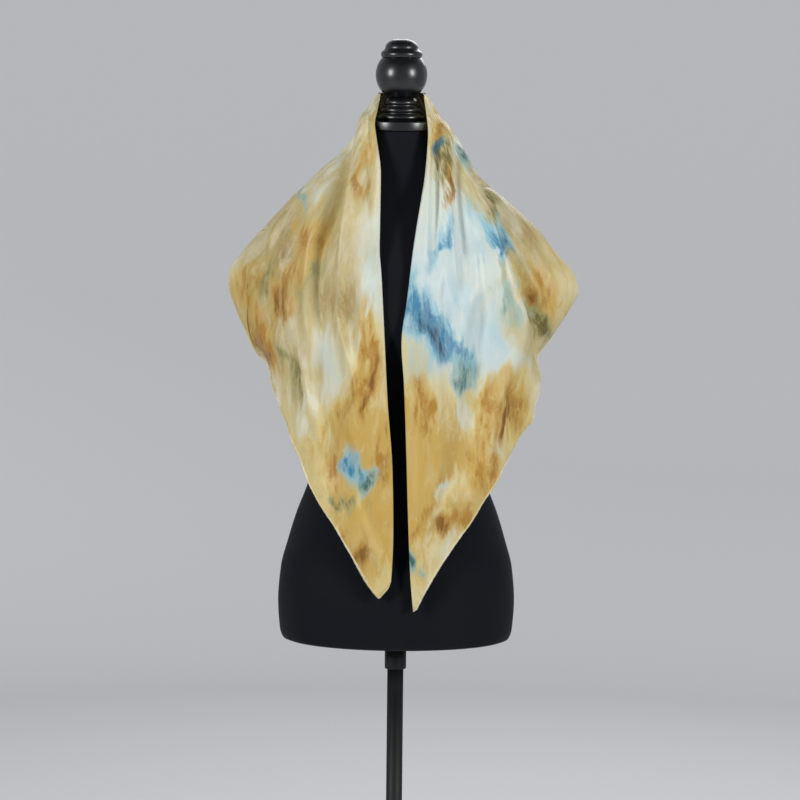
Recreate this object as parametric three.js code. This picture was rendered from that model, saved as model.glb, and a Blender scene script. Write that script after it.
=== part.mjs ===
import * as THREE from 'three'

// A silk square scarf, folded once on its diagonal and hooked under the ball of a dress form's cap.
// Its two long points hang down the front, and the square's corner hangs behind.
// Sizes are in millimetres. +Z is up, the front faces -Y, left is -X and right is +X.

const LEFT = -1
const RIGHT = 1
const FRONT = 1
const BACK = -1
const QUARTER_TURN = Math.PI / 2

// Cloth sizes: both layers lie on each other as one wall, and the under layer's edge lies inside it
const wall = 2.4
const underWall = 1.2
const seam = 0.3
const standOff = 0.8
const neckRing = 1523
const notchHeight = 1228
const backCorner = 745
const hemTuck = 1.3
const hemWrap = 0.12
const wrapStart = 1130
const wrapShare = 0.3

// Sections of the draped cloth, a row for each height: half widths, depths before and behind,
// where the widest point lies, and how round the section is (2 is an ellipse, 1 is a lozenge)
const clothSections = [
  { z: 1523, left: 31, right: 33, front: 31, back: 31, middle: 0, roundFront: 2, roundBack: 2 },
  { z: 1503, left: 46, right: 47, front: 46, back: 46, middle: 0, roundFront: 2, roundBack: 2 },
  { z: 1483, left: 58.5, right: 59, front: 58.5, back: 58.5, middle: 0, roundFront: 2, roundBack: 2 },
  { z: 1465, left: 65, right: 68, front: 64, back: 64, middle: 0, roundFront: 2, roundBack: 2 },
  { z: 1449, left: 74, right: 78, front: 67, back: 66, middle: 1, roundFront: 2, roundBack: 2 },
  { z: 1432, left: 92, right: 90, front: 71, back: 70, middle: 3, roundFront: 2, roundBack: 2 },
  { z: 1415, left: 112, right: 102, front: 77, back: 75, middle: 5, roundFront: 2, roundBack: 2 },
  { z: 1382, left: 146, right: 140, front: 90, back: 85, middle: 12, roundFront: 1.9, roundBack: 1.9 },
  { z: 1356, left: 171, right: 170, front: 100, back: 93, middle: 17, roundFront: 1.75, roundBack: 1.75 },
  { z: 1325, left: 199, right: 203, front: 112, back: 101, middle: 23, roundFront: 1.6, roundBack: 1.6 },
  { z: 1294, left: 226, right: 227, front: 120, back: 107, middle: 28, roundFront: 1.45, roundBack: 1.45 },
  { z: 1260, left: 248, right: 256, front: 127, back: 112, middle: 33, roundFront: 1.4, roundBack: 1.4 },
  { z: 1242, left: 248, right: 262, front: 129, back: 114, middle: 35, roundFront: 1.4, roundBack: 1.4 },
  { z: 1206, left: 236, right: 247, front: 130, back: 116, middle: 32, roundFront: 1.5, roundBack: 1.5 },
  { z: 1166, left: 216, right: 223, front: 130, back: 118, middle: 22, roundFront: 1.7, roundBack: 1.6 },
  { z: 1113, left: 190, right: 203, front: 129, back: 120, middle: 9, roundFront: 1.9, roundBack: 1.7 },
  { z: 1032, left: 186, right: 200, front: 127, back: 122, middle: 0, roundFront: 2, roundBack: 1.8 },
  { z: 940, left: 182, right: 204, front: 124, back: 124, middle: 0, roundFront: 2, roundBack: 1.9 },
  { z: 740, left: 180, right: 200, front: 117, back: 128, middle: 0, roundFront: 2, roundBack: 2 },
]

// The front edges, where the cloth is folded, as the distance from the middle at each height
const foldedEdge = {
  [LEFT]: [
    { z: 1523, x: 29 }, { z: 1503, x: 33 }, { z: 1483, x: 36 }, { z: 1458, x: 33 }, { z: 1408, x: 27.5 },
    { z: 1309, x: 28 }, { z: 1269, x: 25 }, { z: 1191, x: 20.5 }, { z: 1094, x: 15 }, { z: 993, x: 7 },
    { z: 900, x: 5 }, { z: 834, x: 7.5 }, { z: 816, x: 15 },
  ],
  [RIGHT]: [
    { z: 1523, x: 32 }, { z: 1470, x: 38 }, { z: 1442, x: 37 }, { z: 1408, x: 34.5 }, { z: 1363, x: 27.5 },
    { z: 1309, x: 19.5 }, { z: 1239, x: 11.5 }, { z: 1175, x: 4 }, { z: 1119, x: 8 }, { z: 1018, x: 12.5 },
    { z: 936, x: 15.5 }, { z: 841, x: 20 }, { z: 785, x: 25 },
  ],
}

// The hem of each front point, as the distance from the middle at each height
const frontHem = {
  [LEFT]: [
    { z: 806, x: 22 }, { z: 830, x: 40.5 }, { z: 879, x: 69 }, { z: 937, x: 105 }, { z: 975, x: 130 },
    { z: 1032, x: 150 }, { z: 1080, x: 170 }, { z: 1113, x: 187 }, { z: 1166, x: 214 }, { z: 1206, x: 235 },
    { z: 1228, x: 245 },
  ],
  [RIGHT]: [
    { z: 785, x: 25 }, { z: 821, x: 42 }, { z: 874, x: 75 }, { z: 922, x: 107 }, { z: 975, x: 140 },
    { z: 1033, x: 175 }, { z: 1061, x: 189 }, { z: 1088, x: 196 }, { z: 1117, x: 199.5 }, { z: 1142, x: 207 },
    { z: 1178, x: 229 }, { z: 1205, x: 246 }, { z: 1228, x: 258 },
  ],
}

// The cloth's rays from folded edge to hem, as the heights where each starts and ends
const frontRays = {
  [LEFT]: [
    { share: 0, edge: 827, hem: 809 }, { share: 0.1, edge: 900, hem: 860 }, { share: 0.25, edge: 1020, hem: 930 },
    { share: 0.4, edge: 1155, hem: 990 }, { share: 0.55, edge: 1300, hem: 1045 },
    { share: 0.7, edge: 1420, hem: 1092 }, { share: 0.85, edge: 1490, hem: 1145 },
    { share: 1, edge: neckRing, hem: notchHeight },
  ],
  [RIGHT]: [
    { share: 0, edge: 790, hem: 794 }, { share: 0.1, edge: 876, hem: 848 }, { share: 0.25, edge: 1010, hem: 915 },
    { share: 0.4, edge: 1150, hem: 975 }, { share: 0.55, edge: 1300, hem: 1030 },
    { share: 0.7, edge: 1420, hem: 1080 }, { share: 0.85, edge: 1490, hem: 1135 },
    { share: 1, edge: neckRing, hem: notchHeight },
  ],
}

// The largest folds: where each starts and ends as seen from its face, its half width, its height,
// which is below nought for a trough, and how far its line bows outwards
const folds = [
  { face: FRONT, side: LEFT, fromX: 52, fromZ: 1484, toX: 92, toZ: 1220, width: 13, height: 12, bow: -3 },
  { face: FRONT, side: LEFT, fromX: 72, fromZ: 1450, toX: 118, toZ: 1190, width: 12, height: -18, bow: -3 },
  { face: FRONT, side: LEFT, fromX: 112, fromZ: 1405, toX: 172, toZ: 1150, width: 16, height: 8, bow: 0 },
  { face: FRONT, side: LEFT, fromX: 198, fromZ: 1335, toX: 194, toZ: 1180, width: 12, height: -8, bow: 0 },
  { face: FRONT, side: LEFT, fromX: 40, fromZ: 1330, toX: 70, toZ: 950, width: 18, height: 6, bow: 0 },
  { face: FRONT, side: LEFT, fromX: 118, fromZ: 1230, toX: 96, toZ: 970, width: 16, height: -9, bow: 0 },
  { face: FRONT, side: RIGHT, fromX: 50, fromZ: 1484, toX: 49, toZ: 1270, width: 8, height: -8, bow: 4 },
  { face: FRONT, side: RIGHT, fromX: 60, fromZ: 1465, toX: 80, toZ: 1260, width: 9, height: 8, bow: 0 },
  { face: FRONT, side: RIGHT, fromX: 68, fromZ: 1455, toX: 100, toZ: 1250, width: 8, height: -8, bow: 0 },
  { face: FRONT, side: RIGHT, fromX: 68, fromZ: 1460, toX: 199, toZ: 1090, width: 15, height: 15, bow: 9 },
  { face: FRONT, side: RIGHT, fromX: 88, fromZ: 1446, toX: 213, toZ: 1120, width: 11, height: -17, bow: 9 },
  { face: FRONT, side: RIGHT, fromX: 120, fromZ: 1240, toX: 96, toZ: 950, width: 18, height: -9, bow: 0 },
  { face: FRONT, side: RIGHT, fromX: 46, fromZ: 1230, toX: 62, toZ: 890, width: 18, height: 6, bow: 0 },
  { face: BACK, side: LEFT, fromX: 34, fromZ: 1478, toX: 70, toZ: 1120, width: 13, height: -9, bow: 0 },
  { face: BACK, side: LEFT, fromX: 66, fromZ: 1440, toX: 150, toZ: 1140, width: 14, height: 9, bow: 4 },
  { face: BACK, side: LEFT, fromX: 104, fromZ: 1400, toX: 196, toZ: 1190, width: 13, height: -10, bow: 0 },
  { face: BACK, side: LEFT, fromX: 30, fromZ: 1180, toX: 26, toZ: 850, width: 18, height: 6, bow: 0 },
  { face: BACK, side: RIGHT, fromX: 16, fromZ: 1470, toX: 34, toZ: 1060, width: 14, height: 8, bow: 0 },
  { face: BACK, side: RIGHT, fromX: 52, fromZ: 1455, toX: 112, toZ: 1110, width: 13, height: -10, bow: 0 },
  { face: BACK, side: RIGHT, fromX: 84, fromZ: 1425, toX: 186, toZ: 1150, width: 14, height: 10, bow: 5 },
  { face: BACK, side: RIGHT, fromX: 122, fromZ: 1390, toX: 214, toZ: 1205, width: 12, height: -10, bow: 0 },
  { face: BACK, side: RIGHT, fromX: 40, fromZ: 1120, toX: 34, toZ: 880, width: 17, height: -6, bow: 0 },
]

// A fold is narrow where it starts and wide where it ends, as shares of its width, and a power
// gives it blunt ends
const foldStart = 0.7
const foldEnd = 1.3
const foldBluntness = 0.7

// Sections of the covered torso, a row for each height
const torsoSections = [
  { z: 729, half: 158, front: 96, back: 102 },
  { z: 732, half: 165, front: 101.5, back: 108.5 },
  { z: 745, half: 169.5, front: 104.5, back: 112.5 },
  { z: 787, half: 172.3, front: 107, back: 116 },
  { z: 835, half: 168.5, front: 106, back: 114 },
  { z: 876, half: 158, front: 101, back: 106 },
  { z: 914, half: 146.5, front: 96, back: 98 },
  { z: 961, half: 129, front: 90, back: 88 },
  { z: 1020, half: 115, front: 86, back: 80 },
  { z: 1080, half: 121, front: 92, back: 84 },
  { z: 1140, half: 132, front: 108, back: 90 },
  { z: 1210, half: 143, front: 122, back: 96 },
  { z: 1270, half: 150, front: 114, back: 98 },
  { z: 1320, half: 157, front: 92, back: 92 },
  { z: 1350, half: 156, front: 74, back: 82 },
  { z: 1370, half: 140, front: 64, back: 74 },
  { z: 1388, half: 112, front: 58, back: 67 },
  { z: 1404, half: 84, front: 55, back: 61 },
  { z: 1420, half: 64, front: 53, back: 56 },
  { z: 1440, half: 53, front: 50, back: 51 },
  { z: 1470, half: 49, front: 48, back: 49 },
]

// The turned cap, the pole and the base, as heights and radii
const discRadius = 54.2
const discBottom = 1470.3
const discTop = 1483
const ringFoot = 1483.3
const neckTop = 1516
const ballCentre = 1549
const ballRadius = 37
const capTop = 1600
const capSlope = 0.65
const collarRadius = 15.7
const collarBottom = 685
const collarTop = 728.7
const poleRadius = 11.8
const baseRadius = 155
const baseThickness = 8
const hubRadius = 22
const hubTop = 34
const hubFillet = 4

// Grid sizes
const frontColumns = 36
const backColumns = 30
const clothRows = 26
const underColumns = 20
const torsoSides = 36
const torsoLevels = 22
const turnedSides = 24
const beadSteps = 4
const domeSteps = 7
const ballSteps = 16

const finishes = {
  silk: { color: 0xd8c07a, roughness: 0.35, metalness: 0 },
  silkUnder: { color: 0xc9ab66, roughness: 0.35, metalness: 0 },
  cover: { color: 0x14161b, roughness: 0.85, metalness: 0 },
  turnedWood: { color: 0x0c0c0e, roughness: 0.3, metalness: 0 },
  stand: { color: 0x101114, roughness: 0.5, metalness: 0 },
}

// A smooth curve through one column of a table, which never swings past its rows
function through(rows, key, column) {
  const sorted = [...rows].sort((a, b) => a[key] - b[key])
  const at = sorted.map((row) => row[key])
  const value = sorted.map((row) => row[column])
  const slope = at.slice(1).map((next, i) => (value[i + 1] - value[i]) / (next - at[i]))
  const tangent = at.map((_, i) => {
    const before = slope[Math.max(i - 1, 0)]
    const after = slope[Math.min(i, slope.length - 1)]
    return before * after <= 0 ? 0 : (2 * before * after) / (before + after)
  })
  return (wanted) => {
    const x = THREE.MathUtils.clamp(wanted, at[0], at[at.length - 1])
    const next = Math.max(1, at.findIndex((end) => x <= end))
    const gap = at[next] - at[next - 1]
    const u = (x - at[next - 1]) / gap
    const rise = value[next] - value[next - 1]
    const startPull = u * (1 - u) * (1 - u) * gap * tangent[next - 1]
    const endPull = u * u * (1 - u) * gap * tangent[next]
    return value[next - 1] + rise * u * u * (3 - 2 * u) + startPull - endPull
  }
}

function throughEach(rows, key, columns) {
  return Object.fromEntries(columns.map((column) => [column, through(rows, key, column)]))
}

const clothAt = throughEach(clothSections, 'z',
  ['left', 'right', 'front', 'back', 'middle', 'roundFront', 'roundBack'])
const torsoAt = throughEach(torsoSections, 'z', ['half', 'front', 'back'])

// What a cloth section is on one side and face: its half width, depth and roundness
function sectionOf(side, face, z) {
  const half = side === LEFT ? clothAt.left(z) : clothAt.right(z)
  const middle = clothAt.middle(z)
  const depth = face === FRONT ? clothAt.front(z) + middle : clothAt.back(z) - middle
  const round = face === FRONT ? clothAt.roundFront(z) : clothAt.roundBack(z)
  return { half, depth, round, middle }
}

// The angle round the section, from the widest point towards the face, of the point at this x
function angleOf(side, face, x, z) {
  const { half, depth, round } = sectionOf(side, face, z)
  const across = Math.min(x / half, 1)
  const deep = depth * Math.pow(1 - Math.pow(across, round), 1 / round)
  return face * Math.atan2(deep, across * half)
}

// The undraped cloth at an angle round the section: over nought lies before, under it behind
function smoothCloth(side, angle, z) {
  const face = angle >= 0 ? FRONT : BACK
  const { half, depth, round, middle } = sectionOf(side, face, z)
  const acrossShare = Math.abs(Math.cos(angle)) / half
  const deepShare = Math.abs(Math.sin(angle)) / depth
  const reach = Math.pow(Math.pow(acrossShare, round) + Math.pow(deepShare, round), -1 / round)
  return new THREE.Vector3(side * reach * Math.cos(angle), middle - reach * Math.sin(angle), z)
}

function clothNormal(side, angle, z) {
  const step = 0.01
  const rise = 1.5
  const round = smoothCloth(side, angle + step, z).sub(smoothCloth(side, angle - step, z))
  const up = smoothCloth(side, angle, z + rise).sub(smoothCloth(side, angle, z - rise))
  return up.cross(round).multiplyScalar(side).normalize()
}

// How far the folds lift or sink the cloth at a place seen from its face
function foldHeight(side, face, x, z) {
  let height = 0
  for (const fold of folds) {
    if (fold.face !== face || fold.side !== side) continue
    const runX = fold.toX - fold.fromX
    const runZ = fold.toZ - fold.fromZ
    const length = Math.hypot(runX, runZ)
    const along = ((x - fold.fromX) * runX + (z - fold.fromZ) * runZ) / (length * length)
    if (along <= 0 || along >= 1) continue
    const swing = Math.sin(Math.PI * along)
    const outward = ((z - fold.fromZ) * runX - (x - fold.fromX) * runZ) / length - fold.bow * swing
    const spread = fold.width * THREE.MathUtils.lerp(foldStart, foldEnd, along)
    height += fold.height * Math.pow(swing, foldBluntness) * Math.exp(-((outward / spread) ** 2))
  }
  return height
}

// The form's half width and depth at a height, with a cone over the cap's disc up to its ball
function formReach(z, y) {
  if (z > discBottom) {
    const radius = discRadius - Math.max(z - discTop, 0) * capSlope
    return { half: radius, depth: radius }
  }
  return { half: torsoAt.half(z), depth: y < 0 ? torsoAt.front(z) : torsoAt.back(z) }
}

// A place that would lie in the form is moved straight out of it: on the cap the cloth rests,
// and lower down it leaves room for the under layer's edge
function clearOfForm(point) {
  const room = point.z > discBottom ? wall + seam : wall + seam + underWall + standOff
  const { half, depth } = formReach(point.z, point.y)
  const inside = Math.hypot(point.x / (half + room), point.y / (depth + room))
  if (inside >= 1) return point
  return new THREE.Vector3(point.x / inside, point.y / inside, point.z)
}

// The outer face of the draped cloth and its normal
function drapedCloth(side, angle, z) {
  const face = angle >= 0 ? FRONT : BACK
  const flat = smoothCloth(side, angle, z)
  const normal = clothNormal(side, angle, z)
  const lifted = flat.addScaledVector(normal, foldHeight(side, face, Math.abs(flat.x), z))
  const point = clearOfForm(lifted)
  return { point, normal }
}

// A place on a front point: share runs from the tip to the shoulder, run from folded edge to hem.
// Near the shoulder the hem wraps a little round to the back
const frontPlaces = Object.fromEntries([LEFT, RIGHT].map((side) => [side, {
  edgeHeight: through(frontRays[side], 'share', 'edge'),
  hemHeight: through(frontRays[side], 'share', 'hem'),
  edgeX: through(foldedEdge[side], 'z', 'x'),
  hemX: through(frontHem[side], 'z', 'x'),
}]))

function frontCloth(side, share, run) {
  const { edgeHeight, hemHeight, edgeX, hemX } = frontPlaces[side]
  const edge = edgeHeight(share)
  const hem = hemHeight(share)
  const edgeAngle = angleOf(side, FRONT, edgeX(edge), edge)
  const wrap = hemWrap * THREE.MathUtils.smoothstep(hem, wrapStart, notchHeight)
  const hemAngle = angleOf(side, FRONT, hemX(hem), hem) - wrap
  return drapedCloth(side, edgeAngle + (hemAngle - edgeAngle) * run, edge + (hem - edge) * run)
}

// A place on the back: share runs from one shoulder, -1, to the other, 1, run from nape to hem.
// Its hem draws in a little behind the front one before it runs to the corner
function backCloth(share, run) {
  const side = share < 0 ? LEFT : RIGHT
  const inward = 1 - Math.abs(share)
  const { edgeX, hemX } = frontPlaces[side]
  const ridgeAngle = angleOf(side, FRONT, edgeX(neckRing), neckRing)
  const napeAngle = ridgeAngle + (-QUARTER_TURN - ridgeAngle) * inward
  const hem = notchHeight + (backCorner - notchHeight) * inward
  const tuckedHem = hemX(notchHeight) * Math.pow(1 - inward, hemTuck)
  const wrap = hemWrap * (1 - THREE.MathUtils.smoothstep(inward, 0, wrapShare))
  const hemAngle = (inward === 0 ? 0 : angleOf(side, BACK, tuckedHem, hem)) - wrap
  return drapedCloth(side, napeAngle + (hemAngle - napeAngle) * run, neckRing + (hem - neckRing) * run)
}

// A closed wall between two faces given as grids of the same size
function wallGeometry(outer, inner) {
  const rows = outer.length
  const columns = outer[0].length
  const positions = [...outer.flat(), ...inner.flat()].flatMap((point) => point.toArray())
  const out = (i, j) => i * columns + j
  const back = (i, j) => rows * columns + i * columns + j
  const faces = []
  const quad = (a, b, c, d) => faces.push(a, b, c, a, c, d)
  for (let i = 0; i < rows - 1; i += 1) {
    for (let j = 0; j < columns - 1; j += 1) {
      quad(out(i, j), out(i, j + 1), out(i + 1, j + 1), out(i + 1, j))
      quad(back(i, j), back(i + 1, j), back(i + 1, j + 1), back(i, j + 1))
    }
    quad(out(i, 0), out(i + 1, 0), back(i + 1, 0), back(i, 0))
    quad(out(i + 1, columns - 1), out(i, columns - 1), back(i, columns - 1), back(i + 1, columns - 1))
  }
  for (let j = 0; j < columns - 1; j += 1) {
    quad(out(0, j + 1), out(0, j), back(0, j), back(0, j + 1))
    quad(out(rows - 1, j), out(rows - 1, j + 1), back(rows - 1, j + 1), back(rows - 1, j))
  }
  const geometry = new THREE.BufferGeometry()
  geometry.setAttribute('position', new THREE.Float32BufferAttribute(positions, 3))
  geometry.setIndex(faces)
  return geometry
}

// A wall of cloth whose faces lie at two depths under the draped surface
function clothWall(place, shares, runs, near, far) {
  const grid = shares.map((share) => runs(share).map((run) => place(share, run)))
  const faceAt = (depth) => grid.map((line) => line.map(
    ({ point, normal }) => point.clone().addScaledVector(normal, -depth)))
  return wallGeometry(faceAt(near), faceAt(far))
}

function evenly(from, to, steps) {
  return Array.from({ length: steps + 1 }, (_, i) => from + ((to - from) * i) / steps)
}

function piece(name, geometry, finish) {
  geometry.computeVertexNormals()
  const mesh = new THREE.Mesh(geometry, new THREE.MeshStandardMaterial(finish))
  mesh.name = name
  return mesh
}

// The front points, which stop half a seam before the shoulder
const shoulderSeam = 0.0005
const allRuns = () => evenly(0, 1, clothRows)

function frontPoint(side) {
  const shares = evenly(0, 1 - shoulderSeam, frontColumns)
  const ordered = side === RIGHT ? shares : shares.reverse()
  return clothWall((share, run) => frontCloth(side, share, run), ordered, allRuns, 0, wall)
}

function backPanel() {
  const shares = evenly(-1 + shoulderSeam, 1 - shoulderSeam, backColumns).reverse()
  return clothWall(backCloth, shares, allRuns, 0, wall)
}

// The under layer's edge follows the front point's grid, and peeps out past the hem near the tip
const underRows = 3
const underPeep = 0.03

function underEdge(side) {
  const shares = evenly(0, 1 - shoulderSeam, frontColumns).slice(0, underColumns)
  const ordered = side === RIGHT ? shares : shares.reverse()
  const runs = () => [...allRuns().slice(-underRows - 1), 1 + underPeep]
  return clothWall((share, run) => frontCloth(side, share, run), ordered, runs,
    wall + seam, wall + seam + underWall)
}

// The torso is a stack of sections, each half an ellipse before and half behind
function torsoGeometry() {
  const positions = []
  const faces = []
  const heights = evenly(0, 1, torsoLevels).map((u) => THREE.MathUtils.lerp(
    torsoSections[0].z, torsoSections.at(-1).z, u))
  heights.splice(1, 0, torsoSections[1].z)
  for (const z of heights) {
    for (let i = 0; i < torsoSides; i += 1) {
      const turn = (2 * Math.PI * i) / torsoSides
      const depth = Math.sin(turn) < 0 ? torsoAt.front(z) : torsoAt.back(z)
      positions.push(torsoAt.half(z) * Math.cos(turn), depth * Math.sin(turn), z)
    }
  }
  const rings = heights.length
  const at = (ring, i) => ring * torsoSides + (i % torsoSides)
  const bottom = rings * torsoSides
  const top = bottom + 1
  positions.push(0, 0, heights[0], 0, 0, heights[rings - 1])
  for (let i = 0; i < torsoSides; i += 1) {
    for (let ring = 0; ring < rings - 1; ring += 1) {
      faces.push(at(ring, i), at(ring, i + 1), at(ring + 1, i + 1))
      faces.push(at(ring, i), at(ring + 1, i + 1), at(ring + 1, i))
    }
    faces.push(bottom, at(0, i + 1), at(0, i), top, at(rings - 1, i), at(rings - 1, i + 1))
  }
  const geometry = new THREE.BufferGeometry()
  geometry.setAttribute('position', new THREE.Float32BufferAttribute(positions, 3))
  geometry.setIndex(faces)
  return geometry
}

// A turned piece from its profile, radius and height, which starts and ends on the axis
function turned(profile) {
  const points = profile.map(([radius, height]) => new THREE.Vector2(radius, height))
  return new THREE.LatheGeometry(points, turnedSides).rotateX(QUARTER_TURN)
}

function arcProfile(centre, radius, from, to, steps) {
  return evenly(from, to, steps).map((turn) => [radius * Math.cos(turn), centre + radius * Math.sin(turn)])
}

// A rounded moulding that stands out of a profile by its size, from one angle to another
function bead(radius, height, size, from, to) {
  const start = THREE.MathUtils.degToRad(from)
  const end = THREE.MathUtils.degToRad(to)
  return evenly(start, end, beadSteps).map((turn) => [radius + size * Math.cos(turn), height + size * Math.sin(turn)])
}

// A quarter of a flattened round: it starts upright at its radius and ends level on the axis
const domeFullness = 0.8

function dome(radius, height, rise) {
  return evenly(0, QUARTER_TURN, domeSteps).map((turn) => [
    radius * Math.pow(Math.max(Math.cos(turn), 0), domeFullness), height + rise * Math.sin(turn)])
}

const edgeRound = 2
const discProfile = [
  [0, discBottom], [discRadius - edgeRound, discBottom], [discRadius, discBottom + edgeRound],
  [discRadius, discTop - edgeRound], [discRadius - edgeRound, discTop], [0, discTop],
]
const neckProfile = [
  [0, ringFoot], [33.4, ringFoot], ...bead(30.8, 1488.6, 4.2, -60, 78), [31, 1493.4],
  ...bead(26.6, 1498.6, 4, -70, 78), [26.6, 1503.4], ...bead(20.8, 1509.6, 4, -70, 70),
  [20.8, 1514.4], [19.6, neckTop], [0, neckTop],
]
const neckTurn = -Math.asin((ballCentre - neckTop - seam) / ballRadius)
const ringTurn = 0.735
const domeFoot = 1586.6
const ballProfile = [
  [0, neckTop + seam],
  ...arcProfile(ballCentre, ballRadius, neckTurn, ringTurn, ballSteps),
  [27.2, 1574.4], ...bead(23.8, 1578, 6, -50, 68), [25, 1584.8], [24.4, 1585.8],
  ...dome(23.8, domeFoot, capTop - domeFoot),
]
const collarProfile = [
  [0, collarBottom], [collarRadius - 1, collarBottom], [collarRadius, collarBottom + 1],
  [collarRadius, collarTop], [0, collarTop],
]
const poleProfile = [
  [0, hubTop + seam], [poleRadius, hubTop + seam], [poleRadius, collarBottom - seam],
  [0, collarBottom - seam],
]
const baseProfile = [
  [0, 0], [baseRadius, 0], [baseRadius, baseThickness - edgeRound], [baseRadius - edgeRound, baseThickness],
  [hubRadius + hubFillet, baseThickness], [hubRadius, baseThickness + hubFillet], [hubRadius, hubTop - edgeRound],
  [hubRadius - edgeRound, hubTop], [0, hubTop],
]

const scarf = new THREE.Group()
scarf.add(piece('scarf_front_left', frontPoint(LEFT), finishes.silk))
scarf.add(piece('scarf_front_right', frontPoint(RIGHT), finishes.silk))
scarf.add(piece('scarf_back', backPanel(), finishes.silk))
scarf.add(piece('scarf_under_left', underEdge(LEFT), finishes.silkUnder))
scarf.add(piece('scarf_under_right', underEdge(RIGHT), finishes.silkUnder))

const form = new THREE.Group()
form.add(piece('form_torso', torsoGeometry(), finishes.cover))
form.add(piece('neck_disc', turned(discProfile), finishes.turnedWood))
form.add(piece('turned_neck', turned(neckProfile), finishes.turnedWood))
form.add(piece('ball_finial', turned(ballProfile), finishes.turnedWood))
form.add(piece('pole_collar', turned(collarProfile), finishes.stand))
form.add(piece('pole', turned(poleProfile), finishes.stand))
form.add(piece('base_plate', turned(baseProfile), finishes.stand))

const dressedForm = new THREE.Group()
dressedForm.add(scarf, form)

export default dressedForm
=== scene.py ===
# %% [markdown]
# # A silk square on a dress form
#
# The object is one square of satin silk with a rolled hem, folded once on its diagonal. The fold
# hooks round the narrow neck of a turned cap, the two long points hang down the front, and the
# square's corner hangs behind. It rests on a black dress form on a pole.
#
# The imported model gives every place. This lesson loads it, sets the camera, makes each piece as a
# surface worked out from a few short tables, and sets the floor and the light last.

# %% Load the frame
import math

import bpy
import numpy as np
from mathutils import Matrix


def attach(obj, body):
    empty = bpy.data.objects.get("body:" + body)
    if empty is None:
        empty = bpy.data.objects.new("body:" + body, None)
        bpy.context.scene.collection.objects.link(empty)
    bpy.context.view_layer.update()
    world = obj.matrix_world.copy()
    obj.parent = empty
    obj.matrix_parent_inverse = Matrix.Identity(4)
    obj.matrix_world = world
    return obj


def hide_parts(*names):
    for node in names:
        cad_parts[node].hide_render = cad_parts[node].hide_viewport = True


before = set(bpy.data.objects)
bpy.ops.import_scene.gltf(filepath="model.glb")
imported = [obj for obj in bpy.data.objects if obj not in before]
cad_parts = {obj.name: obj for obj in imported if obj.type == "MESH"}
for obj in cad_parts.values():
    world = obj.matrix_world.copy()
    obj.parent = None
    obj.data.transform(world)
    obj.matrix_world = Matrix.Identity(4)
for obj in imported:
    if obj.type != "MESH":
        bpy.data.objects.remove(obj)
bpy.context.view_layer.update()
MM = 0.001
LEFT, RIGHT = -1, 1
FRONT, BACK = 1, -1

# %% [markdown]
# ## Camera
#
# The picture is taken from in front, from a little over the cap, with a long lens. A camera could
# be aimed with a constraint, but three plain angles are easier to read and to check: it pitches
# down, and it rolls by half a degree, because the picture is not quite upright.

# %% Camera
EYE = (0.0027, -4.5, 1.6)
AIM_HEIGHT = 1.08
ROLL = math.radians(0.6)
LENS = 140.6

camera_data = bpy.data.cameras.new("picture camera")
camera_data.lens = LENS
camera_data.sensor_width = 36
camera = bpy.data.objects.new("picture camera", camera_data)
bpy.context.scene.collection.objects.link(camera)
pitch = math.atan2(AIM_HEIGHT - EYE[2], -EYE[1])
camera.location = EYE
camera.rotation_mode = "ZYX"
camera.rotation_euler = (math.pi / 2 + pitch, 0, ROLL)
bpy.context.scene.camera = camera
print("camera pitch in degrees:", round(math.degrees(pitch), 2))

# %% [markdown]
# ## Helpers for meshes and tables
#
# A table with named columns is easier to correct than a mesh. `through` draws a smooth curve through
# one column, and never swings past the rows, so a sleeve of rows never bulges between them.


# %% Tables and curves
def table(names, rows):
    """A table as one numpy array for each named column."""
    return dict(zip(names.split(), np.array(rows, dtype=float).T))


def through(places, values):
    """A smooth curve through points: cubics whose slopes are the harmonic mean of their neighbours."""
    order = np.argsort(places)
    at, value = np.asarray(places)[order], np.asarray(values)[order]
    slope = np.diff(value) / np.diff(at)
    before = np.concatenate([slope[:1], slope])
    after = np.concatenate([slope, slope[-1:]])
    both = before * after
    total = np.where(before + after == 0, 1, before + after)
    tangent = np.where(both <= 0, 0, 2 * both / total)

    def curve(wanted):
        x = np.clip(wanted, at[0], at[-1])
        step = np.clip(np.searchsorted(at, x, side="left"), 1, len(at) - 1)
        gap = at[step] - at[step - 1]
        u = (x - at[step - 1]) / gap
        rise = value[step] - value[step - 1]
        pulls = u * (1 - u) * gap * ((1 - u) * tangent[step - 1] - u * tangent[step])
        return value[step - 1] + rise * u * u * (3 - 2 * u) + pulls

    return curve


def smooth_step(low, high, x):
    """Nought under low, one over high, and a soft S between them."""
    u = np.clip((x - low) / (high - low), 0, 1)
    return u * u * (3 - 2 * u)


# %% Meshes from grids
def link(name, mesh):
    piece = bpy.data.objects.new(name, mesh)
    bpy.context.scene.collection.objects.link(piece)
    return piece


def grid_faces(rows, columns, wrap=False):
    """Quads between neighbouring points of a grid whose points are numbered row by row."""
    i = np.arange(rows - 1)[:, None]
    j = np.arange(columns if wrap else columns - 1)[None, :]
    after = (j + 1) % columns
    corners = [i * columns + j, i * columns + after, (i + 1) * columns + after, (i + 1) * columns + j]
    return np.stack([np.broadcast_to(c, (rows - 1, j.shape[1])) for c in corners], -1).reshape(-1, 4)


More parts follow.
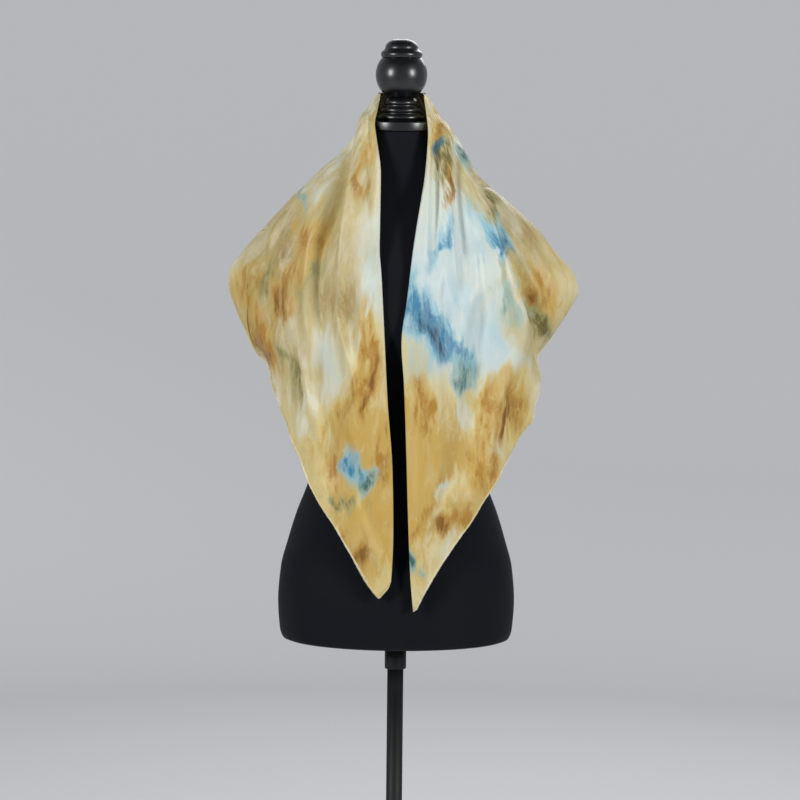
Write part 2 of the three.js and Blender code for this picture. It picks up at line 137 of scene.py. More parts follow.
def mesh_of(name, points, faces):
    """A smooth-shaded mesh from points in millimetres and faces of four."""
    mesh = bpy.data.meshes.new(name)
    mesh.vertices.add(len(points))
    mesh.vertices.foreach_set("co", (np.asarray(points) * MM).astype(np.float32).ravel())
    mesh.loops.add(faces.size)
    mesh.loops.foreach_set("vertex_index", faces.ravel().astype(np.int32))
    mesh.polygons.add(len(faces))
    mesh.polygons.foreach_set("loop_start", np.arange(0, faces.size, 4, dtype=np.int32))
    mesh.polygons.foreach_set("use_smooth", np.ones(len(faces), dtype=bool))
    mesh.update(calc_edges=True)
    mesh.validate()
    return mesh


def store(mesh, name, vectors):
    """Keeps one vector for each point, for a material to read."""
    layer = mesh.attributes.new(name, "FLOAT_VECTOR", "POINT")
    layer.data.foreach_set("vector", np.asarray(vectors, dtype=np.float32).ravel())


def turned(name, profile, sides):
    """A turned piece: its profile of radii and heights is carried round the upright axis."""
    radius, height = np.array(profile, dtype=float).T
    turn = np.arange(sides) * (2 * math.pi / sides)
    x = radius[:, None] * np.cos(turn)
    y = radius[:, None] * np.sin(turn)
    z = np.broadcast_to(height[:, None], x.shape)
    points = np.stack([x, y, z], -1).reshape(-1, 3)
    return link(name, mesh_of(name, points, grid_faces(len(radius), sides, wrap=True)))


# %% [markdown]
# ## Sections of the drape
#
# The cloth could be draped by simulation, but a scarf that hooks round a knob is held by its folds,
# which a simulation rarely repeats. So its form is a stack of sections, one row for each height: how
# wide it is on each side, how deep before and behind, and how round. These rows are the solids' own.

# %% The cloth's sections
sections = table("z left right front back middle round_front round_back", [
    [1523, 31, 33, 31, 31, 0, 2, 2],
    [1503, 46, 47, 46, 46, 0, 2, 2],
    [1483, 58.5, 59, 58.5, 58.5, 0, 2, 2],
    [1465, 65, 68, 64, 64, 0, 2, 2],
    [1449, 74, 78, 67, 66, 1, 2, 2],
    [1432, 92, 90, 71, 70, 3, 2, 2],
    [1415, 112, 102, 77, 75, 5, 2, 2],
    [1382, 146, 140, 90, 85, 12, 1.9, 1.9],
    [1356, 171, 170, 100, 93, 17, 1.75, 1.75],
    [1325, 199, 203, 112, 101, 23, 1.6, 1.6],
    [1294, 226, 227, 120, 107, 28, 1.45, 1.45],
    [1260, 248, 256, 127, 112, 33, 1.4, 1.4],
    [1242, 248, 262, 129, 114, 35, 1.4, 1.4],
    [1206, 236, 247, 130, 116, 32, 1.5, 1.5],
    [1166, 216, 223, 130, 118, 22, 1.7, 1.6],
    [1113, 190, 203, 129, 120, 9, 1.9, 1.7],
    [1032, 186, 200, 127, 122, 0, 2, 1.8],
    [940, 182, 204, 124, 124, 0, 2, 1.9],
    [740, 180, 200, 117, 128, 0, 2, 2],
])
cloth_at = {name: through(sections["z"], sections[name]) for name in sections if name != "z"}

folded_edge = {
    LEFT: table("z x", [
        [1523, 29], [1503, 33], [1483, 36], [1458, 33], [1408, 27.5], [1309, 28], [1269, 25],
        [1191, 20.5], [1094, 15], [993, 7], [900, 5], [834, 7.5], [816, 15],
    ]),
    RIGHT: table("z x", [
        [1523, 32], [1470, 38], [1442, 37], [1408, 34.5], [1363, 27.5], [1309, 19.5], [1239, 11.5],
        [1175, 4], [1119, 8], [1018, 12.5], [936, 15.5], [841, 20], [785, 25],
    ]),
}
front_hem = {
    LEFT: table("z x", [
        [806, 22], [830, 40.5], [879, 69], [937, 105], [975, 130], [1032, 150], [1080, 170],
        [1113, 187], [1166, 214], [1206, 235], [1228, 245],
    ]),
    RIGHT: table("z x", [
        [785, 25], [821, 42], [874, 75], [922, 107], [975, 140], [1033, 175], [1061, 189],
        [1088, 196], [1117, 199.5], [1142, 207], [1178, 229], [1205, 246], [1228, 258],
    ]),
}
front_rays = {
    LEFT: table("share edge hem", [
        [0, 827, 809], [0.1, 900, 860], [0.25, 1020, 930], [0.4, 1155, 990], [0.55, 1300, 1045],
        [0.7, 1420, 1092], [0.85, 1490, 1145], [1, 1523, 1228],
    ]),
    RIGHT: table("share edge hem", [
        [0, 790, 794], [0.1, 876, 848], [0.25, 1010, 915], [0.4, 1150, 975], [0.55, 1300, 1030],
        [0.7, 1420, 1080], [0.85, 1490, 1135], [1, 1523, 1228],
    ]),
}
NECK_RING, NOTCH_HEIGHT, BACK_CORNER = 1523, 1228, 745
HEM_TUCK, HEM_WRAP = 1.3, 0.12
WRAP_START, WRAP_SHARE = 1130, 0.3
print("cloth sections:", len(sections["z"]))


# %% The cloth before its folds
def section_of(side, face, z):
    """Half width, depth, roundness and widest place of a section, on one side and face."""
    half = np.where(side < 0, cloth_at["left"](z), cloth_at["right"](z))
    middle = cloth_at["middle"](z)
    front = cloth_at["front"](z) + middle
    back = cloth_at["back"](z) - middle
    depth = np.where(face > 0, front, back)
    roundness = np.where(face > 0, cloth_at["round_front"](z), cloth_at["round_back"](z))
    return half, depth, roundness, middle


def angle_of(side, face, x, z):
    """The angle round a section, from its widest place, of the point that lies at x."""
    half, depth, roundness, _ = section_of(side, face, z)
    across = np.clip(x / half, 0, 1)
    deep = depth * (1 - across ** roundness) ** (1 / roundness)
    return face * np.arctan2(deep, across * half)


def smooth_cloth(side, angle, z):
    """A superellipse in polar form: its reach is the power mean of its half width and its depth."""
    half, depth, roundness, middle = section_of(side, np.where(angle >= 0, 1, -1), z)
    shares = (np.abs(np.cos(angle)) / half) ** roundness + (np.abs(np.sin(angle)) / depth) ** roundness
    reach = shares ** (-1 / roundness)
    return np.stack([side * reach * np.cos(angle), middle - reach * np.sin(angle), z], -1)


def cloth_normal(side, angle, z):
    """Out of the cloth: the cross product of its slopes upwards and round."""
    step, rise = 0.01, 1.5
    around = smooth_cloth(side, angle + step, z) - smooth_cloth(side, angle - step, z)
    up = smooth_cloth(side, angle, z + rise) - smooth_cloth(side, angle, z - rise)
    normal = np.cross(up, around) * side[..., None]
    return normal / np.linalg.norm(normal, axis=-1, keepdims=True)


# %% [markdown]
# ## Folds
#
# Silk falls in soft rolls that start at the neck and die out below. Each row below is one roll or
# trough: where it starts and ends as seen from its face, its half width, how high it stands, how far
# its crest leans outwards over the next trough, how narrow its outer side is, and how far its line
# bows. The first rows are the solids' own folds, the two boldest a little softer, and the others are
# the finer ones between them.

# %% Fold tables
FOLD_COLUMNS = "face side from_x from_z to_x to_z width height lean edge bow"
folds = table(FOLD_COLUMNS, [
    [FRONT, LEFT, 50, 1494, 92, 1215, 20, 16, 7, 0.5, -3],
    [FRONT, LEFT, 71, 1470, 118, 1190, 13, -19, 0, 1, -3],
    [FRONT, LEFT, 112, 1410, 172, 1150, 18, 9, 0, 0.6, 0],
    [FRONT, LEFT, 198, 1345, 194, 1175, 12, -10, 0, 1, 0],
    [FRONT, LEFT, 40, 1330, 70, 950, 18, 7, 0, 0.7, 0],
    [FRONT, LEFT, 118, 1230, 96, 970, 15, -10, 0, 1, 0],
    [FRONT, RIGHT, 48, 1505, 49, 1260, 7, -10, 0, 1, 4],
    [FRONT, RIGHT, 58, 1495, 78, 1250, 9, 8, 0, 1, 0],
    [FRONT, RIGHT, 67, 1468, 98, 1235, 8, -8, 0, 1, 0],
    [FRONT, RIGHT, 62, 1484, 200, 1080, 24, 18, 8, 0.45, 9],
    [FRONT, RIGHT, 82, 1466, 216, 1105, 13, -19, 0, 1, 9],
    [FRONT, RIGHT, 120, 1240, 96, 950, 18, -10, 0, 1, 0],
    [FRONT, RIGHT, 46, 1230, 62, 890, 18, 6, 0, 0.7, 0],
    [BACK, LEFT, 34, 1490, 70, 1120, 13, -9, 0, 1, 0],
    [BACK, LEFT, 66, 1455, 150, 1140, 18, 10, 4, 0.5, 4],
    [BACK, LEFT, 104, 1410, 196, 1190, 13, -10, 0, 1, 0],
    [BACK, LEFT, 30, 1180, 26, 850, 18, 6, 0, 1, 0],
    [BACK, RIGHT, 16, 1490, 34, 1060, 14, 8, 0, 1, 0],
    [BACK, RIGHT, 52, 1465, 112, 1110, 13, -10, 0, 1, 0],
    [BACK, RIGHT, 84, 1435, 186, 1150, 18, 11, 4, 0.5, 5],
    [BACK, RIGHT, 122, 1395, 214, 1205, 12, -10, 0, 1, 0],
    [BACK, RIGHT, 40, 1120, 34, 880, 17, -6, 0, 1, 0],
])
fine_folds = table(FOLD_COLUMNS, [
    [FRONT, LEFT, 44, 1510, 37, 1330, 2.6, -3.5, 0, 1, 0],
    [FRONT, LEFT, 50, 1500, 44, 1290, 6, 3, 0, 1, 0],
    [FRONT, LEFT, 56, 1440, 68, 1270, 5, -2.5, 0, 1, 0],
    [FRONT, LEFT, 104, 1420, 190, 1285, 8, -3.5, 0, 1, 0],
    [FRONT, LEFT, 150, 1378, 212, 1262, 8, 3, 0, 0.5, 0],
    [FRONT, LEFT, 134, 1350, 150, 1160, 10, -3.5, 0, 1, 0],
    [FRONT, LEFT, 172, 1330, 168, 1150, 9, 3, 0, 0.6, 0],
    [FRONT, LEFT, 96, 1240, 50, 1080, 8, 3, 0, 1, 0],
    [FRONT, LEFT, 140, 1150, 104, 1010, 8, 3, 0, 1, 0],
    [FRONT, LEFT, 30, 1180, 22, 930, 9, -2.4, 0, 1, 0],
    [FRONT, LEFT, 74, 1050, 34, 880, 9, -3, 0, 1, 0],
    [FRONT, LEFT, 52, 930, 22, 850, 7, 2.4, 0, 1, 0],
    [FRONT, RIGHT, 42, 1504, 38, 1330, 3.6, 3.4, 0, 1, 0],
    [FRONT, RIGHT, 84, 1420, 122, 1230, 6, -3, 0, 1, 4],
    [FRONT, RIGHT, 66, 1330, 74, 1160, 8, -3, 0, 1, 0],
    [FRONT, RIGHT, 30, 1290, 26, 1100, 9, 2.5, 0, 1, 0],
    [FRONT, RIGHT, 118, 1400, 216, 1262, 7, 4, 0, 0.6, 5],
    [FRONT, RIGHT, 130, 1372, 222, 1236, 7, -4, 0, 1, 5],
    [FRONT, RIGHT, 166, 1310, 224, 1186, 9, 4, 0, 1, 0],
    [FRONT, RIGHT, 176, 1150, 196, 1060, 7, -5, 0, 1, 6],
    [FRONT, RIGHT, 192, 1140, 186, 1046, 6, 5, 0, 0.5, 6],
    [FRONT, RIGHT, 150, 1130, 128, 980, 9, 3, 0, 1, 0],
    [FRONT, RIGHT, 22, 1180, 30, 960, 8, -2.4, 0, 1, 0],
    [FRONT, RIGHT, 90, 1060, 44, 870, 9, -3, 0, 1, 0],
    [BACK, LEFT, 18, 1500, 22, 1260, 5, 3, 0, 1, 0],
    [BACK, LEFT, 52, 1470, 92, 1250, 6, -3, 0, 1, 0],
    [BACK, LEFT, 130, 1370, 214, 1240, 7, 4, 0, 0.6, 0],
    [BACK, LEFT, 100, 1180, 62, 960, 9, -3, 0, 1, 0],
    [BACK, LEFT, 56, 1060, 20, 860, 8, 3, 0, 1, 0],
    [BACK, RIGHT, 36, 1495, 62, 1280, 5, -3, 0, 1, 0],
    [BACK, RIGHT, 98, 1390, 168, 1240, 7, 4, 0, 0.6, 0],
    [BACK, RIGHT, 140, 1180, 96, 1010, 9, 3, 0, 1, 0],
    [BACK, RIGHT, 66, 1010, 20, 830, 8, -3, 0, 1, 0],
])


FOLD_START, FOLD_END, FOLD_BLUNTNESS = 0.7, 1.3, 0.7
FINE_LIFT = 1.4


def fold_lift(rows, side, face, x, z):
    """How high the folds stand and how far they lean.

    Each is a bell across its line, steeper on its outer side by its edge, and dies out at both ends
    as the sine of its length. Its line bows outwards by the same sine."""
    height = np.zeros(np.shape(x))
    lean = np.zeros(np.shape(x))
    for row in zip(*rows.values()):
        on_face, on_side, from_x, from_z, to_x, to_z, width, tall, over, edge, bow = row
        run = np.array([to_x - from_x, to_z - from_z])
        length = np.hypot(*run)
        along = ((x - from_x) * run[0] + (z - from_z) * run[1]) / length ** 2
        swing = np.sin(math.pi * np.clip(along, 0, 1))
        outward = ((z - from_z) * run[0] - (x - from_x) * run[1]) / length - bow * swing
        opening = FOLD_START + (FOLD_END - FOLD_START) * along
        reach = width * opening * np.where(outward > 0, edge, 1)
        bell = np.exp(-(outward / reach) ** 2) * swing ** FOLD_BLUNTNESS
        share = np.where((face == on_face) & (side == on_side), bell, 0)
        height += tall * share
        lean += over * share
    return height, lean


# %% [markdown]
# ## Keeping clear of the form
#
# A fold may not dip into the torso or the cap. Each point that would lie in them is moved straight
# out until it clears them, which costs nothing and needs no collision run.

# %% Sections of the torso
torso_sections = table("z half front back", [
    [729, 158, 96, 102],
    [732, 165, 101.5, 108.5],
    [745, 169.5, 104.5, 112.5],
    [787, 172.3, 107, 116],
    [835, 168.5, 106, 114],
    [876, 158, 101, 106],
    [914, 146.5, 96, 98],
    [961, 129, 90, 88],
    [1020, 115, 86, 80],
    [1080, 121, 92, 84],
    [1140, 132, 108, 90],
    [1210, 143, 122, 96],
    [1270, 150, 114, 98],
    [1320, 157, 92, 92],
    [1350, 156, 74, 82],
    [1370, 140, 64, 74],
    [1388, 112, 58, 67],
    [1404, 84, 55, 61],
    [1420, 64, 53, 56],
    [1440, 53, 50, 51],
    [1470, 49, 48, 49],
])
torso_at = {name: through(torso_sections["z"], torso_sections[name]) for name in torso_sections}
DISC_RADIUS, DISC_BOTTOM, DISC_TOP = 54.2, 1470.3, 1483
CAP_SLOPE = 0.65
NEAR_AXIS = 0.01


def clear_of_form(points, room):
    """Points inside the form, or nearer to it than room, are moved straight out of its axis."""
    x, y, z = points[..., 0], points[..., 1], points[..., 2]
    cone = DISC_RADIUS - np.maximum(z - DISC_TOP, 0) * CAP_SLOPE
    by_cap = z > DISC_BOTTOM
    half = np.where(by_cap, cone, torso_at["half"](z))
    depth = np.where(by_cap, cone, np.where(y < 0, torso_at["front"](z), torso_at["back"](z)))
    inside = np.hypot(x / (half + room), y / (depth + room))
    out = np.maximum(1 / np.maximum(inside, NEAR_AXIS), 1)
    return points * np.stack([out, out, np.ones_like(out)], -1)


# %% [markdown]
# ## The whole square as one sheet
#
# The real scarf is a single square, so it is made as one sheet, and the fold is simply where the
# sheet turns back on itself. One parameter runs from the left tip over both shoulders to the right
# tip. The other runs from the upper layer's hem up to the fold, and back down the under layer.

# %% Places on the sheet
FRONT_COLUMNS, BACK_COLUMNS = 104, 118
LAYER_ROWS = 104
UNDER_ROWS = 44
LAYER_GAP, FORM_ROOM = 1.7, 1.2
ROLL_LENGTH = 0.03
GATHER_HEIGHT, GATHER_COUNT, GATHER_BEAT = 1.6, 9, 4
GATHER_FOOT, GATHER_TOP = 1400, 1520
GATHER_END, GATHER_FULL = 0.9, 0.2


def gathers(side, angle, z):
    """Small pleats where the fold is drawn in round the neck, which fade out below it."""
    fade = smooth_step(GATHER_FOOT, GATHER_TOP, z) * smooth_step(GATHER_END, GATHER_FULL, angle)
    return GATHER_HEIGHT * fade * np.cos(GATHER_COUNT * angle + side) * np.cos(GATHER_BEAT * angle)


side_pleats = table("side from_angle from_z to_angle to_z width height", [
    [LEFT, 0.62, 1430, 0.74, 1190, 0.07, 5],
    [LEFT, 0.4, 1440, 0.5, 1170, 0.06, -6],
    [LEFT, 0.24, 1395, 0.27, 1185, 0.07, 6],
    [LEFT, -0.1, 1440, -0.16, 1215, 0.06, -6],
    [LEFT, -0.26, 1450, -0.36, 1140, 0.08, 8],
    [LEFT, -0.5, 1425, -0.66, 1080, 0.07, -8],
    [LEFT, -0.78, 1460, -0.9, 1010, 0.09, 9],
    [LEFT, -1.1, 1440, -1.2, 960, 0.08, -7],
    [LEFT, -1.32, 1470, -1.4, 900, 0.07, 6],
    [RIGHT, 0.66, 1420, 0.8, 1200, 0.06, -5],
    [RIGHT, 0.46, 1430, 0.52, 1150, 0.08, 7],
    [RIGHT, 0.22, 1410, 0.3, 1200, 0.06, -6],
    [RIGHT, -0.13, 1430, -0.2, 1180, 0.08, 7],
    [RIGHT, -0.38, 1445, -0.44, 1150, 0.06, -8],
    [RIGHT, -0.6, 1410, -0.78, 1060, 0.09, 8],
    [RIGHT, -0.92, 1470, -1, 1000, 0.07, -8],
    [RIGHT, -1.22, 1450, -1.3, 930, 0.09, 9],
])


PLEAT_RISE, PLEAT_FALL, PLEAT_END = 0.75, 0.9, 1.3


def side_lift(side, angle, z):
    """Pleats round the sides: each is a bell across its line of angle against height.

    It rises from its upper end, is deepest near its lower one, and dies out just below that."""
    height = np.zeros(np.shape(angle))
    for row in zip(*side_pleats.values()):
        on_side, from_angle, from_z, to_angle, to_z, width, tall = row
        down = (from_z - z) / (from_z - to_z)
        centre = from_angle + (to_angle - from_angle) * down
        bell = np.exp(-((angle - centre) / width) ** 2)
        reach = smooth_step(0, PLEAT_RISE, down) * smooth_step(PLEAT_END, PLEAT_FALL, down)
        height += np.where(side == on_side, tall * bell * reach, 0)
    return height


FLUTTER_HEIGHT, FLUTTER_START, FLUTTER_ENDS = 2.2, 0.6, 0.15
flutter_waves = table("count shift tall", [[17, 2, 1], [31, 1, 0.7], [53, 0, 0.4]])


def flutter(side, share, run):
    """A slow uneven wave along the hem, which dies out within the cloth and at both ends."""
    waves = zip(*flutter_waves.values())
    wave = sum(tall * np.sin(count * share + shift * side) for count, shift, tall in waves)
    ends = smooth_step(0, FLUTTER_ENDS, share) * smooth_step(1, 1 - FLUTTER_ENDS, share)
    return FLUTTER_HEIGHT * wave * ends * smooth_step(FLUTTER_START, 1, run)


def draped(side, angle, z, share, run):
    """The upper face of the sheet: its section, lifted along its normal by folds and pleats."""
    flat = smooth_cloth(side, angle, z)
    normal = cloth_normal(side, angle, z)
    face = np.where(angle >= 0, FRONT, BACK)
    across = np.abs(flat[..., 0])
    height, lean = fold_lift(folds, side, face, across, z)
    fine, _ = fold_lift(fine_folds, side, face, across, z)
    height = height + FINE_LIFT * fine + side_lift(side, angle, z)
    height = height + gathers(side, angle, z) + flutter(side, share, run)
    points = flat + normal * height[..., None]
    points[..., 0] += side * lean
    return clear_of_form(points, LAYER_GAP + FORM_ROOM), normal


def front_places(side, share, run):
    """A point on a front: between the folded edge and the hem, along its ray.

    Near the shoulder the hem wraps a little round to the back."""
    rays = front_rays[side]
    edge = through(rays["share"], rays["edge"])(share)
    hem = through(rays["share"], rays["hem"])(share)
    sides = np.full(np.shape(share), side)
    faces = np.ones(np.shape(share))
    edge_x = through(folded_edge[side]["z"], folded_edge[side]["x"])(edge)
    hem_x = through(front_hem[side]["z"], front_hem[side]["x"])(hem)
    start = angle_of(sides, faces, edge_x, edge)
    end = angle_of(sides, faces, hem_x, hem) - HEM_WRAP * smooth_step(WRAP_START, NOTCH_HEIGHT, hem)
    return draped(sides, start + (end - start) * run, edge + (hem - edge) * run, share, run)


def back_places(share, run):
    """A point on the back: share runs from shoulder to shoulder, run from nape to hem.

    The hem draws in a little behind the front one before it runs to the corner."""
    side = np.where(share < 0, LEFT, RIGHT)
    inward = 1 - np.abs(share)
    ring = np.full(np.shape(share), float(NECK_RING))
    ridge_x = np.where(side < 0, folded_edge[LEFT]["x"][0], folded_edge[RIGHT]["x"][0])
    ridge = angle_of(side, np.ones_like(ring), ridge_x, ring)
    nape = ridge + (-math.pi / 2 - ridge) * inward
    hem = NOTCH_HEIGHT + (BACK_CORNER - NOTCH_HEIGHT) * inward
    notch_x = np.where(side < 0, front_hem[LEFT]["x"][-1], front_hem[RIGHT]["x"][-1])
    tucked = notch_x * (1 - inward) ** HEM_TUCK
    end = np.where(inward == 0, 0, angle_of(side, -np.ones_like(ring), tucked, hem))
    end = end - HEM_WRAP * smooth_step(WRAP_SHARE, 0, inward)
    return draped(side, nape + (end - nape) * run, ring + (hem - ring) * run, np.abs(share), run)


def layer(runs_left, runs_back, runs_right):
    """One layer of the sheet, from the left tip over the shoulders to the right tip."""
    shares = np.linspace(0, 1, FRONT_COLUMNS)
    across = np.linspace(-1, 1, BACK_COLUMNS)[1:-1]
    left = front_places(LEFT, *np.broadcast_arrays(shares[:, None], runs_left))
    back = back_places(*np.broadcast_arrays(across[:, None], runs_back))
    right = front_places(RIGHT, *np.broadcast_arrays(shares[::-1, None], runs_right))
    return [np.concatenate(parts) for parts in zip(left, back, right)]


# %% The sheet itself
PEEP_AT_TIP, PEEP_END, PEEP_TUCK = 0.03, 0.16, 0.002
PEEP_WAVE, PEEP_COUNT, PEEP_SHIFT = 0.006, 9, 0.6
ROW_EASE = 0.8


def peep(share):
    """How far the under layer's hem falls below the upper one: out at the tips, in elsewhere."""
    wave = PEEP_WAVE * np.sin(PEEP_COUNT * share + PEEP_SHIFT)
    return PEEP_AT_TIP * smooth_step(PEEP_END, 0, share) + wave - PEEP_TUCK


def silk_sheet():
    """The upper layer from its hem to the fold, then the under layer back down to its own hem."""
    upper_runs = np.linspace(1, 0, LAYER_ROWS)
    under_runs = np.linspace(0, 1, UNDER_ROWS) ** ROW_EASE
    upper, _ = layer(upper_runs, upper_runs, upper_runs)
    shares = np.linspace(0, 1, FRONT_COLUMNS)
    across = np.abs(np.linspace(-1, 1, BACK_COLUMNS)[1:-1])
    reach = [1 + peep(shares)[:, None], 1 + 0 * across[:, None], 1 + peep(shares[::-1])[:, None]]
    under, normal = layer(*[under_runs * r for r in reach])
    gap = LAYER_GAP * smooth_step(0, ROLL_LENGTH, under_runs)[None, :, None]
    under = under - normal * gap
    return np.concatenate([upper, under[:, 1:]], axis=1)


sheet_points = silk_sheet()
SHEET_COLUMNS, SHEET_ROWS = sheet_points.shape[:2]
sheet_faces = grid_faces(SHEET_COLUMNS, SHEET_ROWS)
silk_mesh = mesh_of("silk_square", sheet_points.reshape(-1, 3), sheet_faces)
silk = link("silk_square", silk_mesh)
print("silk square:", SHEET_COLUMNS, "by", SHEET_ROWS, "points")
